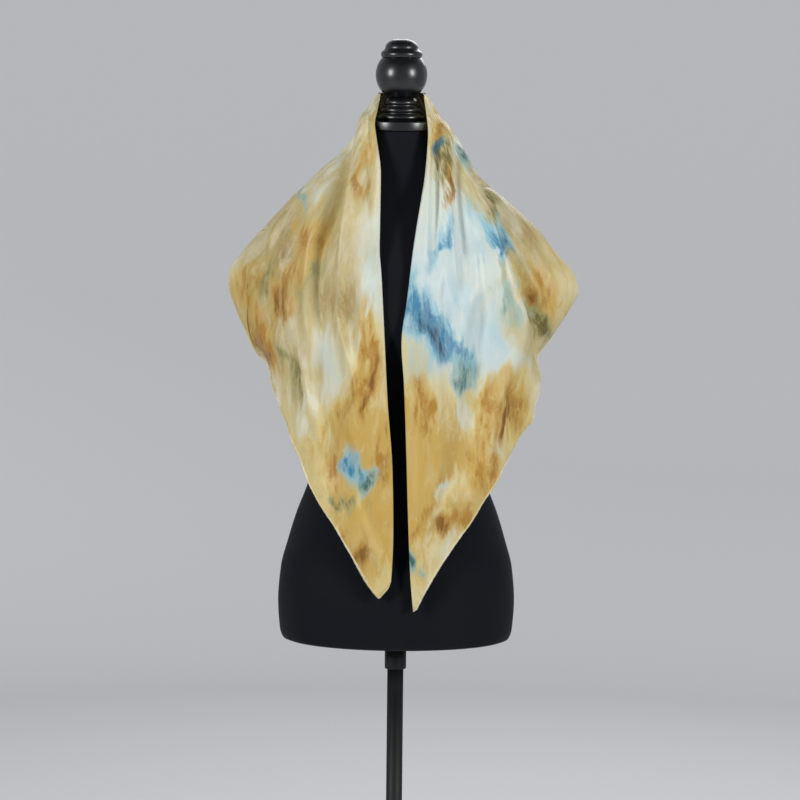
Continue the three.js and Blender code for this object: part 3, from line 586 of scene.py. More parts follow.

# %% [markdown]
# ## Where the dyes lie
#
# The silk is dyed by hand, so each colour is a soft bloom that broke up as it ran down. An image
# could be painted, but soft blooms are easily given as a table of places, sizes and strengths, and
# the material breaks their edges up. The places are this lesson's own: only the colours and the
# scale follow the real scarf. A few olive blooms lie along fold troughs as painted shade. Left of the
# middle, x is below nought.

# %% Bloom tables
BLOOM_COLUMNS = "face x z wide tall tilt amount"
bloom_rows = {
    "gold": [
        [FRONT, -66, 1050, 96, 120, 0, 1.4],
        [FRONT, -30, 900, 50, 96, 0, 1.3],
        [FRONT, -212, 1212, 46, 56, 0, 1.2],
        [FRONT, -122, 1376, 56, 30, 30, 0.8],
        [FRONT, -110, 1168, 24, 50, 14, -1.1],
        [FRONT, -142, 1082, 24, 30, 0, -0.9],
        [FRONT, -58, 985, 18, 28, 0, -0.8],
        [FRONT, 50, 1480, 26, 50, 0, 1.2],
        [FRONT, 222, 1272, 40, 70, 36, 1.3],
        [FRONT, 84, 1012, 84, 64, 0, 1.3],
        [FRONT, 36, 890, 46, 84, 0, 1.3],
        [FRONT, 156, 1078, 44, 44, 0, 1],
        [FRONT, 92, 1052, 14, 30, 10, -1],
        [FRONT, 60, 960, 14, 26, -10, -0.9],
        [FRONT, 128, 1010, 12, 24, 0, -0.8],
        [BACK, -90, 1310, 60, 80, 0, 1.1],
        [BACK, -184, 1220, 50, 60, 0, 1.2],
        [BACK, -50, 990, 70, 90, 0, 1.3],
        [BACK, -30, 1070, 18, 40, 0, -0.9],
        [BACK, 190, 1230, 50, 60, 0, 1.1],
        [BACK, 20, 850, 60, 80, 0, 1.3],
        [BACK, 110, 1120, 50, 60, 0, 1.1],
        [BACK, 30, 1450, 50, 50, 0, 1],
        [BACK, 40, 930, 16, 30, 0, -0.9],
    ],
    "tan": [
        [FRONT, -58, 1440, 24, 64, 0, 1],
        [FRONT, -150, 1310, 96, 90, 20, 1.2],
        [FRONT, -176, 1180, 36, 70, -10, 1],
        [FRONT, -66, 1236, 34, 40, 0, 0.8],
        [FRONT, -40, 850, 24, 34, 0, 0.7],
        [FRONT, 108, 1390, 40, 40, 20, 0.9],
        [FRONT, 180, 1326, 50, 46, 30, 1],
        [FRONT, 196, 1190, 36, 50, 0, 0.9],
        [FRONT, 116, 950, 24, 50, -30, 0.9],
        [BACK, -120, 1360, 46, 60, 0, 0.9],
        [BACK, -100, 1090, 40, 60, 0, 0.9],
        [BACK, 140, 1310, 46, 60, 0, 1],
        [BACK, 10, 1000, 40, 60, 0, 0.8],
    ],
    "olive_and_fold_shade": [
        [FRONT, -186, 1256, 30, 40, 20, 0.9],
        # painted shade: this olive bloom lies along the trough beside the left roll
        [FRONT, -112, 1306, 20, 66, 12, 0.55],
        [FRONT, -44, 1490, 8, 26, 0, 0.8],
        [FRONT, -160, 1140, 12, 44, -10, 0.8],
        [FRONT, -84, 960, 34, 12, 26, 0.9],
        [FRONT, 56, 1416, 12, 40, 0, 1.1],
        # painted shade: this olive bloom lies along the trough beside the right ridge
        [FRONT, 140, 1320, 10, 90, 19, 0.9],
        [FRONT, 212, 1210, 24, 26, 30, 1],
        [FRONT, 138, 1376, 24, 14, 30, 0.7],
        [FRONT, 92, 926, 16, 22, -30, 0.9],
        [BACK, -110, 1210, 34, 36, 0, 1],
        [BACK, -30, 1440, 18, 40, 0, 0.9],
        [BACK, 64, 1170, 26, 44, 0, 0.9],
        [BACK, 160, 1200, 26, 26, 0, 0.9],
    ],
    "ochre": [
        [FRONT, -44, 1150, 15, 70, 10, 1],
        [FRONT, -80, 1100, 13, 54, 18, 0.9],
        [FRONT, -30, 1000, 14, 60, 0, 0.9],
        [FRONT, -96, 1010, 16, 40, -14, 0.9],
        [FRONT, -208, 1250, 20, 40, 20, 1],
        [FRONT, -146, 1262, 18, 60, 14, 0.9],
        [FRONT, -190, 1176, 14, 50, 0, 1],
        [FRONT, -124, 1345, 24, 24, 30, 0.8],
        [FRONT, -60, 900, 20, 30, -20, 0.9],
        [FRONT, -24, 866, 16, 30, 0, 0.9],
        [FRONT, -56, 1450, 10, 50, 0, 0.8],
        [FRONT, 34, 1056, 13, 46, 0, 1],
        [FRONT, 124, 1060, 13, 56, -8, 1],
        [FRONT, 156, 1066, 12, 50, 6, 1],
        [FRONT, 100, 990, 18, 40, 10, 0.9],
        [FRONT, 46, 930, 10, 60, 0, 0.8],
        [FRONT, 92, 920, 18, 30, -34, 1],
        [FRONT, 216, 1262, 18, 34, 34, 0.9],
        [FRONT, 44, 1476, 12, 50, 0, 0.9],
        [BACK, -60, 1010, 18, 60, 0, 1],
        [BACK, -150, 1240, 18, 50, 0, 0.9],
        [BACK, -110, 1310, 20, 50, 10, 0.8],
        [BACK, -20, 900, 16, 50, 0, 1],
        [BACK, 100, 1110, 16, 60, 8, 1],
        [BACK, 30, 880, 18, 60, 0, 1],
        [BACK, 180, 1240, 18, 50, 0, 0.9],
        [BACK, 20, 1440, 18, 50, 0, 0.9],
        [BACK, 60, 1000, 14, 50, 0, 0.8],
    ],
    "brown": [
        [FRONT, -62, 1412, 7, 24, 0, 0.9],
        [FRONT, -150, 1238, 10, 36, 12, 0.9],
        [FRONT, -198, 1166, 8, 30, 0, 0.9],
        [FRONT, -46, 1128, 6, 34, 10, 0.9],
        [FRONT, -20, 860, 12, 16, 0, 0.9],
        [FRONT, 60, 1376, 7, 26, 0, 0.9],
        [FRONT, 144, 1052, 9, 34, -10, 1],
        [FRONT, 74, 898, 12, 14, -40, 1],
        [FRONT, 210, 1244, 9, 14, 30, 0.9],
        [BACK, -156, 1256, 12, 24, 0, 0.9],
        [BACK, -64, 930, 10, 26, 0, 1],
        [BACK, 84, 1046, 10, 40, 0, 1],
        [BACK, 172, 1266, 12, 22, 0, 0.9],
    ],
    "aqua": [
        [FRONT, 60, 1250, 90, 110, 0, 1.5],
        [FRONT, 30, 1146, 56, 70, 0, 1.5],
        [FRONT, 120, 1330, 50, 60, 0, 1],
        [FRONT, 128, 1176, 44, 54, 0, 1.1],
        [FRONT, 60, 960, 15, 26, 0, 0.9],
        [FRONT, 80, 1440, 18, 30, 0, 1.1],
        [FRONT, -126, 1400, 44, 22, 34, 0.9],
        [FRONT, -40, 1300, 20, 60, 0, 0.8],
        [FRONT, -112, 1168, 22, 46, 14, 0.4],
        [FRONT, -62, 1008, 30, 32, 0, 0.8],
        [BACK, -10, 1400, 60, 90, 0, 1.3],
        [BACK, -60, 1160, 50, 60, 0, 1.3],
        [BACK, 90, 1330, 64, 80, 0, 1.4],
        [BACK, 30, 1020, 50, 60, 0, 1.1],
    ],
    "blue": [
        [FRONT, 40, 1204, 20, 46, 8, 1.1],
        [FRONT, 78, 1168, 18, 40, 20, 1.1],
        [FRONT, 134, 1310, 14, 38, 24, 1],
        [FRONT, 60, 1300, 10, 34, 0, 0.8],
        [FRONT, 26, 1130, 26, 50, 0, 0.18],
        [FRONT, 112, 1230, 24, 60, 12, 0.2],
        [FRONT, 96, 1346, 16, 40, 12, 0.18],
        [FRONT, 150, 1180, 24, 40, 0, 0.18],
        [FRONT, -72, 1016, 12, 20, 0, 1],
        [BACK, -40, 1240, 18, 50, -10, 1.1],
        [BACK, 60, 1290, 20, 56, 10, 1.2],
        [BACK, 96, 1330, 14, 30, 20, 1],
    ],
    "navy": [
        [FRONT, 54, 1172, 10, 30, 10, 1.2],
        [FRONT, 138, 1296, 6, 16, 20, 0.9],
        [FRONT, 50, 1434, 6, 12, 0, 0.9],
        [BACK, 70, 1262, 11, 36, 12, 1.1],
        [BACK, -46, 1210, 9, 26, 0, 1],
    ],
    "teal": [
        [FRONT, 88, 1124, 20, 24, 20, 1],
        [FRONT, 90, 1426, 12, 18, 20, 1],
        [FRONT, 176, 1226, 20, 26, 0, 0.9],
        [FRONT, 40, 846, 10, 18, 0, 1],
        [FRONT, -56, 1000, 18, 22, 0, 0.9],
        [FRONT, -140, 1392, 16, 12, 30, 0.9],
        [BACK, -30, 1100, 20, 26, 0, 1],
        [BACK, 50, 950, 18, 20, 0, 0.9],
    ],
}
blooms = {dye: table(BLOOM_COLUMNS, rows) for dye, rows in bloom_rows.items()}
FIRM_SIZE, BLOOM_DEPTH = 26, 30
FRONT_FULL, FRONT_END = 10, 60
swirls = table("wave reach", [[0.016, 14], [0.035, 8], [0.078, 4], [0.17, 2]])
SWIRL_SHIFT_ACROSS, SWIRL_SHIFT_UP, SWIRL_STRETCH = 31, 17, 1.5
FAN_AT_NECK, FAN_TOP, FAN_FOOT, GRAIN_RISE = 0.35, 1520, 1250, 0.3


def swirled(x, z):
    """Places stirred by sines of falling size: each coordinate is shifted by a wave of the other."""
    for wave, reach in zip(*swirls.values()):
        x = x + reach * np.sin(wave * z + SWIRL_SHIFT_ACROSS * wave * reach)
        z = z + SWIRL_STRETCH * reach * np.sin(wave * x + SWIRL_SHIFT_UP * wave * reach)
    return x, z


def bloom_field(rows, points):
    """Soft bells in the stirred cloth, each wide and tall as its row says, tilted, on its own face.

    A bell also fades from front to back of its own place, so that it stays round on the sides.
    The three numbers of a point are the sum of the bells and its slopes per metre across and up.
    A small bell's slope is eased, so that the ragged edge that is made from it stays near it."""
    x, z = swirled(points[..., 0], points[..., 2])
    before = smooth_step(FRONT_END, FRONT_FULL, points[..., 1])
    field, slope_x, slope_z = np.zeros((3, *x.shape))
    for face, at_x, at_z, wide, tall, tilt, amount in zip(*rows.values()):
        side = math.copysign(1, at_x)
        turn = math.radians(tilt) * side
        right, up = x - at_x, z - at_z
        across = (right * math.cos(turn) + up * math.sin(turn)) / wide
        along = (up * math.cos(turn) - right * math.sin(turn)) / tall
        centre = smooth_cloth(side, angle_of(side, face, abs(at_x), at_z), at_z)
        deep = (points[..., 1] - centre[1]) / (wide + BLOOM_DEPTH)
        shown = before if face == FRONT else 1 - before
        bell = amount * shown * np.exp(-(across ** 2 + along ** 2 + deep ** 2))
        ease = min(1, math.sqrt(wide * tall) / FIRM_SIZE) / MM
        field += bell
        slope_x -= 2 * bell * ease * (across * math.cos(turn) / wide - along * math.sin(turn) / tall)
        slope_z -= 2 * bell * ease * (across * math.sin(turn) / wide + along * math.cos(turn) / tall)
    return np.stack([field, slope_x, slope_z], -1)


def spread(points):
    """Coordinates that fan out from the neck: a fine grain drawn in them runs down the folds."""
    x, y, z = points[..., 0], points[..., 1], points[..., 2]
    fan = FAN_AT_NECK + (1 - FAN_AT_NECK) * smooth_step(FAN_TOP, FAN_FOOT, z)
    return np.stack([x / fan, y / fan, z * GRAIN_RISE], -1) * MM


for dye, rows in blooms.items():
    store(silk_mesh, dye, bloom_field(rows, sheet_points))
store(silk_mesh, "run", spread(sheet_points))
print("dyes:", ", ".join(blooms))

# %% [markdown]
# ## Materials
#
# A small helper places a node and links it in one line, so a material reads like a recipe.


# %% Node helpers
def srgb(red, green, blue):
    """A colour as read off a screen, from 0 to 255, made linear."""
    screen = np.array([red, green, blue]) / 255
    linear = np.where(screen <= 0.04045, screen / 12.92, ((screen + 0.055) / 1.055) ** 2.4)
    return (*linear.tolist(), 1)


def fill(tree, socket, value):
    """Links a socket's output to a socket, or writes a plain value into it."""
    if isinstance(value, bpy.types.NodeSocket):
        tree.links.new(value, socket)
    else:
        socket.default_value = value


def node(tree, kind, inputs=(), **settings):
    """Adds a node, sets its options, and fills its sockets with values or links."""
    made = tree.nodes.new(kind)
    for key, value in settings.items():
        setattr(made, key, value)
    for socket, value in dict(inputs).items():
        fill(tree, made.inputs[socket], value)
    return made


def settle(made, values):
    """Writes plain values straight into a node's sockets."""
    for name, value in values.items():
        made.inputs[name].default_value = value


def new_material(name):
    made = bpy.data.materials.new(name)
    made.use_nodes = True
    return made, made.node_tree, made.node_tree.nodes["Principled BSDF"]


def attribute(tree, name, output="Fac"):
    return node(tree, "ShaderNodeAttribute", attribute_name=name).outputs[output]


def maths(tree, operation, first, second=0.0):
    return node(tree, "ShaderNodeMath", {0: first, 1: second}, operation=operation).outputs[0]


def mix(tree, factor, first, second):
    mixed = node(tree, "ShaderNodeMix", data_type="RGBA")
    for socket, value in ((0, factor), (6, first), (7, second)):
        fill(tree, mixed.inputs[socket], value)
    return mixed.outputs[2]


def ramp(tree, value, low, high):
    """A soft threshold: nought under low and one over high."""
    inputs = {"Value": value, "From Min": low, "From Max": high}
    made = node(tree, "ShaderNodeMapRange", inputs, interpolation_type="SMOOTHSTEP")
    return made.outputs["Result"]


def noise(tree, vector, scale, detail=4.0, roughness=0.55, distortion=0.0):
    inputs = {"Vector": vector, "Scale": scale, "Detail": detail, "Roughness": roughness,
              "Distortion": distortion}
    return node(tree, "ShaderNodeTexNoise", inputs).outputs["Fac"]


# %% [markdown]
# ### Dyed silk
#
# Dye runs along the threads, so its edges feather downwards. Each dye is read where noises of falling
# size have moved it: its field there is its field here, plus its slopes times the drift. One soft
# threshold lays a pale wash, and a second one, torn by streaks and fibres, lays the darker heart of
# the stain. The later dyes lie over the earlier ones. Wear is left out, as the scarf is new.

# %% Silk material
CREAM, STRAW = srgb(234, 231, 208), srgb(218, 204, 152)
DYES = {
    "aqua": (srgb(224, 234, 224), srgb(206, 226, 230), 0.60, 1.40),
    "gold": (srgb(230, 210, 142), srgb(212, 174, 86), 0.50, 1.20),
    "tan": (srgb(204, 188, 134), srgb(174, 148, 90), 0.60, 1.30),
    # olive is a real dye, and also painted shade where its blooms lie along fold troughs
    "olive_and_fold_shade": (srgb(180, 172, 116), srgb(112, 104, 54), 0.50, 1.00),
    "ochre": (srgb(212, 178, 98), srgb(182, 132, 54), 0.55, 1.10),
    "brown": (srgb(188, 144, 70), srgb(128, 84, 30), 0.50, 0.95),
    "teal": (srgb(164, 194, 184), srgb(54, 104, 100), 0.50, 1.00),
    "blue": (srgb(150, 202, 218), srgb(38, 124, 166), 0.45, 1.00),
    "navy": (srgb(68, 134, 166), srgb(16, 56, 84), 0.45, 0.95),
}
WARPS = ((22, 0.088), (70, 0.064), (200, 0.024))
GRAINS = {
    "streaks": (85, 6, 0.66, 1.0),
    "fibres": (420, 4, 0.6, 0.6),
    "cloud": (26, 5, 0.62, 1.0),
    "wander": (30, 4, 0.5, 1.6),
    "places": (16, 2, 0.5, 0),
    "weave": (900, 2, 0.5, 0),
    "crumple": (55, 4, 0.55, 0.4),
}
VEIN_WIDTH, VEIN_PALE = 0.012, 0.3
HALO_START, HALO_SHARE = 0.05, 0.9
HEART_START, HEART_END, HEART_BASE = 0.7, 1.2, 0.4
THIN_DYE, STREAK_SHARE, FIBRE_SHARE, WEAVE_SHARE = 0.72, 0.7, 0.5, 0.05


def drift(tree, run):
    """How far a place of the cloth drifts before its dye is read: three noises of falling size,
    as a vector of one, the drift across and the drift up."""
    total = (1, 0, 0)
    for scale, reach in WARPS:
        inputs = {"Vector": run, "Scale": scale, "Detail": 2, "Roughness": 0.5, "Distortion": 0.6}
        cloud = node(tree, "ShaderNodeTexNoise", inputs).outputs["Color"]
        centred = node(tree, "ShaderNodeVectorMath", {0: cloud, 1: (0.5, 0.5, 0.5)}, operation="SUBTRACT")
        moves = {0: centred.outputs[0], 1: (0, reach, reach), 2: total}
        total = node(tree, "ShaderNodeVectorMath", moves, operation="MULTIPLY_ADD").outputs[0]
    return total


def times(tree, first, second):
    return maths(tree, "MULTIPLY", first, second)


def veins(tree, wander, places):
    """Thin wandering lines where a noise crosses its middle, in some places and not in others."""
    off = maths(tree, "ABSOLUTE", maths(tree, "SUBTRACT", wander, 0.5))
    return times(tree, ramp(tree, off, VEIN_WIDTH, 0), ramp(tree, places, 0.45, 0.62))


silk_material, tree, shader = new_material("dyed silk")
run = attribute(tree, "run", "Vector")
moved = drift(tree, run)
grain = {name: noise(tree, run, *values) for name, values in GRAINS.items()}
streaks = times(tree, ramp(tree, grain["streaks"], 0.34, 0.66), STREAK_SHARE)
torn = maths(tree, "ADD", streaks, times(tree, grain["fibres"], FIBRE_SHARE))
thick = times(tree, ramp(tree, grain["cloud"], 0.34, 0.68), 1 - THIN_DYE)
crease = times(tree, veins(tree, grain["wander"], grain["places"]), VEIN_PALE)
pale = maths(tree, "SUBTRACT", maths(tree, "ADD", THIN_DYE, thick), crease)
colour = mix(tree, ramp(tree, grain["cloud"], 0.4, 0.62), CREAM, STRAW)
for dye, (wash, core, firm, full) in DYES.items():
    inputs = {0: attribute(tree, dye, "Vector"), 1: moved}
    dot = node(tree, "ShaderNodeVectorMath", inputs, operation="DOT_PRODUCT")
    field = dot.outputs["Value"]
    halo = times(tree, ramp(tree, field, HALO_START, firm), HALO_SHARE)
    colour = mix(tree, times(tree, halo, pale), colour, wash)
    ragged = times(tree, field, maths(tree, "ADD", HEART_BASE, torn))
    heart = ramp(tree, ragged, firm * HEART_START, full * HEART_END)
    colour = mix(tree, times(tree, heart, pale), colour, core)
relief = maths(tree, "ADD", grain["crumple"], times(tree, grain["weave"], WEAVE_SHARE))
bump = node(tree, "ShaderNodeBump", {"Height": relief, "Strength": 0.5, "Distance": 0.002})
tree.links.new(colour, shader.inputs["Base Color"])
tree.links.new(bump.outputs["Normal"], shader.inputs["Normal"])
settle(shader, {"Roughness": 0.44, "Specular IOR Level": 0.35})
settle(shader, {"Sheen Weight": 0.08, "Sheen Roughness": 0.4})
silk_mesh.materials.append(silk_material)
SILK_THICKNESS = 0.35
solid = silk.modifiers.new("thickness", "SOLIDIFY")
solid.thickness = SILK_THICKNESS * MM
solid.offset = 0

# %% [markdown]
# ## Rolled hem
#
# The raw edge is rolled between the fingers and caught with tiny stitches, which leaves a thin,
# slightly uneven cord round the square. It is a tube carried along the sheet's own edge.


# %% Rolled hem
HEM_RADIUS, HEM_STEP, HEM_SIDES = 1.3, 3, 8
# The hem keeps only this share of the dyes, so the cord is pale: a painted highlight along the hem.
HEM_PAINTED_HIGHLIGHT_DYE = 0.15
TUBE_UPRIGHT = (0, -1, 0.2)
hem_swells = table("tall pace", [[0.12, 1.9], [0.08, 0.73]])


def tube_points(path, radius, sides):
    """Circles carried along a path: each stands across the path's direction."""
    along = np.gradient(path, axis=0)
    along /= np.linalg.norm(along, axis=1, keepdims=True)
    aside = np.cross(along, TUBE_UPRIGHT)
    aside /= np.linalg.norm(aside, axis=1, keepdims=True)
    other = np.cross(along, aside)
    turn = np.arange(sides) * (2 * math.pi / sides)
    ring = aside[:, None] * np.cos(turn)[None, :, None] + other[:, None] * np.sin(turn)[None, :, None]
    return path[:, None] + ring * np.asarray(radius)[:, None, None]


def even_path(path, step):
    """The same path with its points evenly apart."""
    lengths = np.concatenate([[0], np.cumsum(np.linalg.norm(np.diff(path, axis=0), axis=1))])
    places = np.linspace(0, lengths[-1], int(lengths[-1] / step))
    return np.stack([np.interp(places, lengths, path[:, axis]) for axis in range(3)], -1)


def round_the_tips(row, rows):
    """The path of a hem: it starts on the fold at the left tip and ends on it at the right tip."""
    return np.concatenate([sheet_points[0, rows], sheet_points[:, row], sheet_points[-1, rows[::-1]]])


def rolled_hem(name, edge):
    """A thin cord along an edge, a little uneven, pinched at both ends, its dyes thinned to a pale cord
    as a painted highlight.
    """
    path = even_path(edge, HEM_STEP)
    place = np.arange(len(path))
    swell = 1 + sum(tall * np.sin(place * pace) for tall, pace in zip(*hem_swells.values()))
    ends = np.clip(np.minimum(place, place[::-1]) / 2 + 0.1, 0, 1)
    rings = tube_points(path, HEM_RADIUS * swell * ends, HEM_SIDES)
    faces = grid_faces(len(path), HEM_SIDES, wrap=True)
    made = link(name, mesh_of(name, rings.reshape(-1, 3), faces))
    for dye, rows in blooms.items():
        store(made.data, dye, HEM_PAINTED_HIGHLIGHT_DYE * bloom_field(rows, rings))
    store(made.data, "run", spread(rings))
    made.data.materials.append(silk_material)
    print(name, "points:", len(path))
    return made


upper_hem = rolled_hem("rolled_hem_upper", round_the_tips(0, np.arange(LAYER_ROWS - 1, 0, -1)))
under_hem = rolled_hem("rolled_hem_under", sheet_points[:, -1])

# %% [markdown]
# ## The dress form
#
# The form is a light torso with black jersey stretched over it and a seam down each side. Its
# solid is coarse, so a finer surface on the same sections replaces it, with the seam as a shallow
# groove between two soft ridges.

# %% Covered torso
TORSO_FOOT, TORSO_EDGE, TORSO_TOP = 729, 745, 1470
EDGE_LEVELS, TORSO_LEVELS, TORSO_SIDES = 24, 200, 240
SEAM_ANGLE, SEAM_GIRTH = math.radians(12), 150
SEAM_RIDGE, RIDGE_WIDTH = 0.5, 6
SEAM_GROOVE, GROOVE_WIDTH = 1.1, 1.6


def torso_surface():
    """Ellipse halves on the torso's sections, with a groove at the two side seams."""
    edge = np.linspace(TORSO_FOOT, TORSO_EDGE, EDGE_LEVELS)
    z = np.concatenate([edge, np.linspace(TORSO_EDGE, TORSO_TOP, TORSO_LEVELS)[1:]])[:, None]
    turn = np.linspace(0, 2 * math.pi, TORSO_SIDES, endpoint=False)[None, :]
    away = np.abs(np.arctan2(np.sin(turn), np.cos(turn))) + 0 * z
    off_seam = np.minimum(np.abs(away - SEAM_ANGLE), np.abs(math.pi - away - SEAM_ANGLE)) * SEAM_GIRTH
    ridge = SEAM_RIDGE * np.exp(-(off_seam / RIDGE_WIDTH) ** 2)
    seam = ridge - SEAM_GROOVE * np.exp(-(off_seam / GROOVE_WIDTH) ** 2)
    half = torso_at["half"](z) + seam
    depth = np.where(np.sin(turn) < 0, torso_at["front"](z), torso_at["back"](z)) + seam
    return np.stack([half * np.cos(turn), depth * np.sin(turn), z + 0 * turn], -1)


torso_grid = torso_surface()
levels = torso_grid.shape[0]
lids = [np.broadcast_to(torso_grid[end].mean(axis=0), (1, TORSO_SIDES, 3)) for end in (0, -1)]
torso_all = np.concatenate([lids[0], torso_grid, lids[1]])
torso_faces = grid_faces(levels + 2, TORSO_SIDES, wrap=True)
cover = link("jersey_cover", mesh_of("jersey_cover", torso_all.reshape(-1, 3), torso_faces))
print("jersey cover levels:", levels)

# %% [markdown]
# ### Fine grain
#
# Jersey, lacquer and powder coat all have a fine grain, at different sizes. One node group draws it,
# and gives a mask for roughness and a height for bump.


# %% Fine grain group
PATCH_SCALE = 18


def fine_grain_group():
    """A node group: a slow mask for colour and roughness, and a fine height for bump."""
    group = bpy.data.node_groups.new("fine grain", "ShaderNodeTree")
    group.interface.new_socket("Vector", in_out="INPUT", socket_type="NodeSocketVector")
    for name in ("Scale", "Detail"):
        group.interface.new_socket(name, in_out="INPUT", socket_type="NodeSocketFloat")
    for name in ("Mask", "Height"):
        group.interface.new_socket(name, in_out="OUTPUT", socket_type="NodeSocketFloat")
    inside = group.nodes.new("NodeGroupInput").outputs
    out = group.nodes.new("NodeGroupOutput")
    grain = noise(group, inside["Vector"], inside["Scale"], inside["Detail"], 0.6)
    patches = noise(group, inside["Vector"], PATCH_SCALE, 3, 0.5)
    group.links.new(ramp(group, patches, 0.35, 0.65), out.inputs["Mask"])
    group.links.new(grain, out.inputs["Height"])
    return group


FINE_GRAIN = fine_grain_group()


def grained(name, colours, roughness, scale, strength, distance):
    """A near-black finish: two close colours and two roughnesses by patches, with a grain bump."""
    made, tree, shader = new_material(name)
    grain = node(tree, "ShaderNodeGroup", node_tree=FINE_GRAIN)
    tree.links.new(node(tree, "ShaderNodeTexCoord").outputs["Object"], grain.inputs["Vector"])
    settle(grain, {"Scale": scale, "Detail": 3})
    dark, light = (srgb(*colour) for colour in colours)
    tree.links.new(mix(tree, grain.outputs["Mask"], dark, light), shader.inputs["Base Color"])
    between = {"Value": grain.outputs["Mask"], "To Min": roughness[0], "To Max": roughness[1]}
    rough = node(tree, "ShaderNodeMapRange", between)
    tree.links.new(rough.outputs["Result"], shader.inputs["Roughness"])
    relief = {"Height": grain.outputs["Height"], "Strength": strength, "Distance": distance}
    bump = node(tree, "ShaderNodeBump", relief)
    tree.links.new(bump.outputs["Normal"], shader.inputs["Normal"])
    return made, shader


JERSEY = ((11, 14, 20), (15, 18, 26))
LACQUER = ((9, 10, 13), (13, 14, 18))
POWDER = ((9, 10, 12), (13, 14, 16))
jersey, shader = grained("black jersey", JERSEY, (0.85, 0.95), 1400, 0.35, 0.0006)
settle(shader, {"Sheen Weight": 0.12, "Sheen Roughness": 0.5, "Specular IOR Level": 0.15})
cover.data.materials.append(jersey)
lacquer, shader = grained("black lacquer", LACQUER, (0.3, 0.38), 260, 0.08, 0.0005)
settle(shader, {"Coat Weight": 0.2, "Coat Roughness": 0.22})
powder_coat, shader = grained("black powder coat", POWDER, (0.5, 0.6), 900, 0.2, 0.0004)
settle(shader, {"Specular IOR Level": 0.3})

# %% [markdown]
# ## Turned cap and stand
#
# A turned piece is its profile carried round the lathe's axis. The profiles keep the solids' sizes,
# with more points where a bead or a cove is round.


# %% Turned pieces
BALL_CENTRE, BALL_RADIUS, DOME_FULLNESS = 1549, 37, 0.8
TURNED_SIDES = 96


def arc(centre, radius, start, end, steps):
    """Points of a profile on a circle whose centre is on the axis."""
    turn = np.linspace(start, end, steps)
    return [[radius * math.cos(t), centre + radius * math.sin(t)] for t in turn]


def dome(radius, height, rise, steps):
    """A quarter of a flattened round: it starts upright at its radius and ends level on the axis."""
    turn = np.linspace(0, math.pi / 2, steps)
    return [[radius * math.cos(t) ** DOME_FULLNESS, height + rise * math.sin(t)] for t in turn]


def bead(radius, height, size, start=-90, end=90, steps=9):
    """A rounded moulding that stands out of a profile by its size."""
    turn = np.radians(np.linspace(start, end, steps))
    return [[radius + size * math.cos(t), height + size * math.sin(t)] for t in turn]


disc_profile = [
    [0, 1470.3], *bead(52.7, 1471.8, 1.5, -90, 0, 6), *bead(52.7, 1481.5, 1.5, 0, 90, 6),
    [36, 1483], [0, 1483],
]
neck_profile = [
    [0, 1483.3], [33.4, 1483.3], *bead(30.8, 1488.6, 4.2, -60, 78, 14), [31, 1493.4],
    *bead(26.6, 1498.6, 4, -70, 78, 14), [26.6, 1503.4], *bead(20.8, 1509.6, 4, -70, 70, 14),
    [20.8, 1514.4], [19.6, 1516], [0, 1516],
]
ball_profile = [
    [0, 1516.3], *arc(BALL_CENTRE, BALL_RADIUS, -1.095, 0.735, 48), [27.2, 1574.4],
    *bead(23.8, 1578, 6, -50, 68, 16), [25, 1584.8], [24.4, 1585.8],
    *dome(23.8, 1586.6, 13.4, 24),
]
collar_profile = [[0, 685], *bead(14.7, 686, 1, -90, 0, 5), [15.7, 728.7], [0, 728.7]]
pole_profile = [[0, 34.3], [11.8, 34.3], [11.8, 684.7], [0, 684.7]]
base_profile = [
    [0, 0], *bead(153.5, 1.5, 1.5, -90, 0, 5), *bead(153.5, 6.5, 1.5, 0, 90, 6),
    [27, 8], [24.4, 8.8], [22.6, 10.6], [22, 13], *bead(20.5, 32.5, 1.5, 0, 90, 6), [0, 34],
]
TURNED = {
    "cap_disc": ("neck_disc", disc_profile, lacquer),
    "cap_neck": ("turned_neck", neck_profile, lacquer),
    "cap_ball": ("ball_finial", ball_profile, lacquer),
    "stand_collar": ("pole_collar", collar_profile, powder_coat),
    "stand_pole": ("pole", pole_profile, powder_coat),
    "stand_base": ("base_plate", base_profile, powder_coat),
}
for name, (cad_node, profile, finish) in TURNED.items():
    made = turned(name, profile, TURNED_SIDES)
    made.data.materials.append(finish)
    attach(made, "root")
    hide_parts(cad_node)
print("turned pieces:", len(TURNED))

# %% [markdown]
# ## What rides and what replaces
#
# The cloth is cut flat as a square of 1.14 m and is folded double, so its flat size is that square.

for made in (silk, upper_hem, under_hem):
    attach(made, "root")
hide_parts("scarf_front_left", "scarf_front_right", "scarf_back",
            "scarf_under_left", "scarf_under_right")
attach(cover, "root")
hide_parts("form_torso")

# %% [markdown]
# ## Floor and light
#
# A pale round sweep stands for the studio: a floor that turns up into a wall all round. Its paper
# shows from inside only, so the camera can stand anywhere outside it and look through the near
# side. It throws no light back on the piece, which would flatten the folds, and glows a little
# instead. Two wide soft lights stand at the left and the right of the camera, as the two highlights
# on the ball show, and a weaker one behind keeps the back from being black.

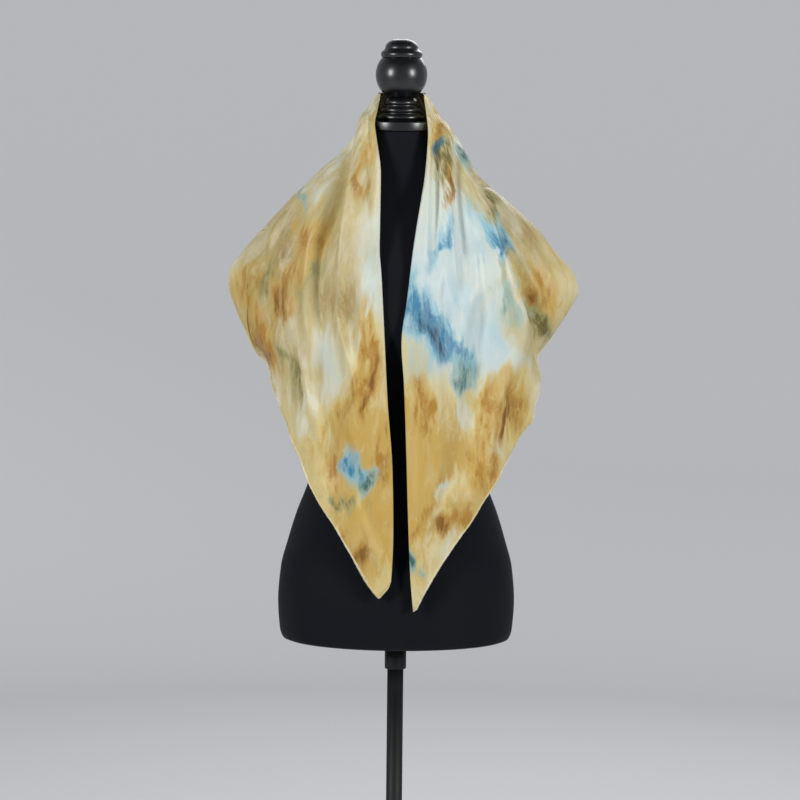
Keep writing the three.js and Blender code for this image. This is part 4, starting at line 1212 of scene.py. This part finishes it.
# %% Stage
SWEEP_RADIUS, SWEEP_BEND, SWEEP_TOP = 4000, 900, 5200
PAPER = srgb(234, 235, 238)
LIGHT_AIM = (0, 0, 1.2)
LIGHTS = {
    "left soft light": ((-2.6, -2.2, 2.1), (0.8, 1.2), 76),
    "right soft light": ((2.6, -2.2, 2.1), (0.8, 1.2), 76),
    "back soft light": ((0.6, 2.7, 2.6), (1.8, 1.2), 24),
}


def sweep():
    """A floor and a wall with a quarter circle between them, carried round and facing inwards."""
    bend = np.linspace(math.pi / 2, 0, 24)
    radius = np.concatenate([[SWEEP_RADIUS], SWEEP_RADIUS - SWEEP_BEND * (1 - np.sin(bend)), [0]])
    height = np.concatenate([[SWEEP_TOP], SWEEP_BEND * (1 - np.cos(bend)), [0]])
    made = turned("studio_sweep", np.stack([radius, height], -1), TURNED_SIDES)
    paper, tree, shader = new_material("pale paper")
    settle(shader, {"Base Color": PAPER, "Roughness": 0.9, "Specular IOR Level": 0.1})
    settle(shader, {"Emission Color": PAPER, "Emission Strength": 0.2})
    clear = node(tree, "ShaderNodeBsdfTransparent").outputs[0]
    outside = node(tree, "ShaderNodeNewGeometry").outputs["Backfacing"]
    both = node(tree, "ShaderNodeMixShader", {0: outside, 1: shader.outputs[0], 2: clear})
    tree.links.new(both.outputs[0], tree.nodes["Material Output"].inputs["Surface"])
    made.data.materials.append(paper)
    made.visible_diffuse = False
    return made


sweep()


def soft_light(name, place, size, power):
    """A wide light that faces the piece: its pitch and turn are the angles of the way there."""
    light = bpy.data.lights.new(name, "AREA")
    light.shape = "RECTANGLE"
    light.size, light.size_y = size
    light.energy = power
    made = bpy.data.objects.new(name, light)
    bpy.context.scene.collection.objects.link(made)
    made.location = place
    made.visible_camera = False
    towards = np.array(LIGHT_AIM) - np.array(place)
    across = math.atan2(towards[0], towards[1])
    up = math.atan2(towards[2], math.hypot(*towards[:2]))
    made.rotation_euler = (math.pi / 2 + up, 0, -across)


for name, (place, size, power) in LIGHTS.items():
    soft_light(name, place, size, power)
world = bpy.data.worlds.new("studio")
bpy.context.scene.world = world
world.use_nodes = True
settle(world.node_tree.nodes["Background"], {"Color": (0.9, 0.93, 1, 1), "Strength": 0.1})
bpy.context.scene.view_settings.view_transform = "Standard"
print("lights:", ", ".join(LIGHTS))
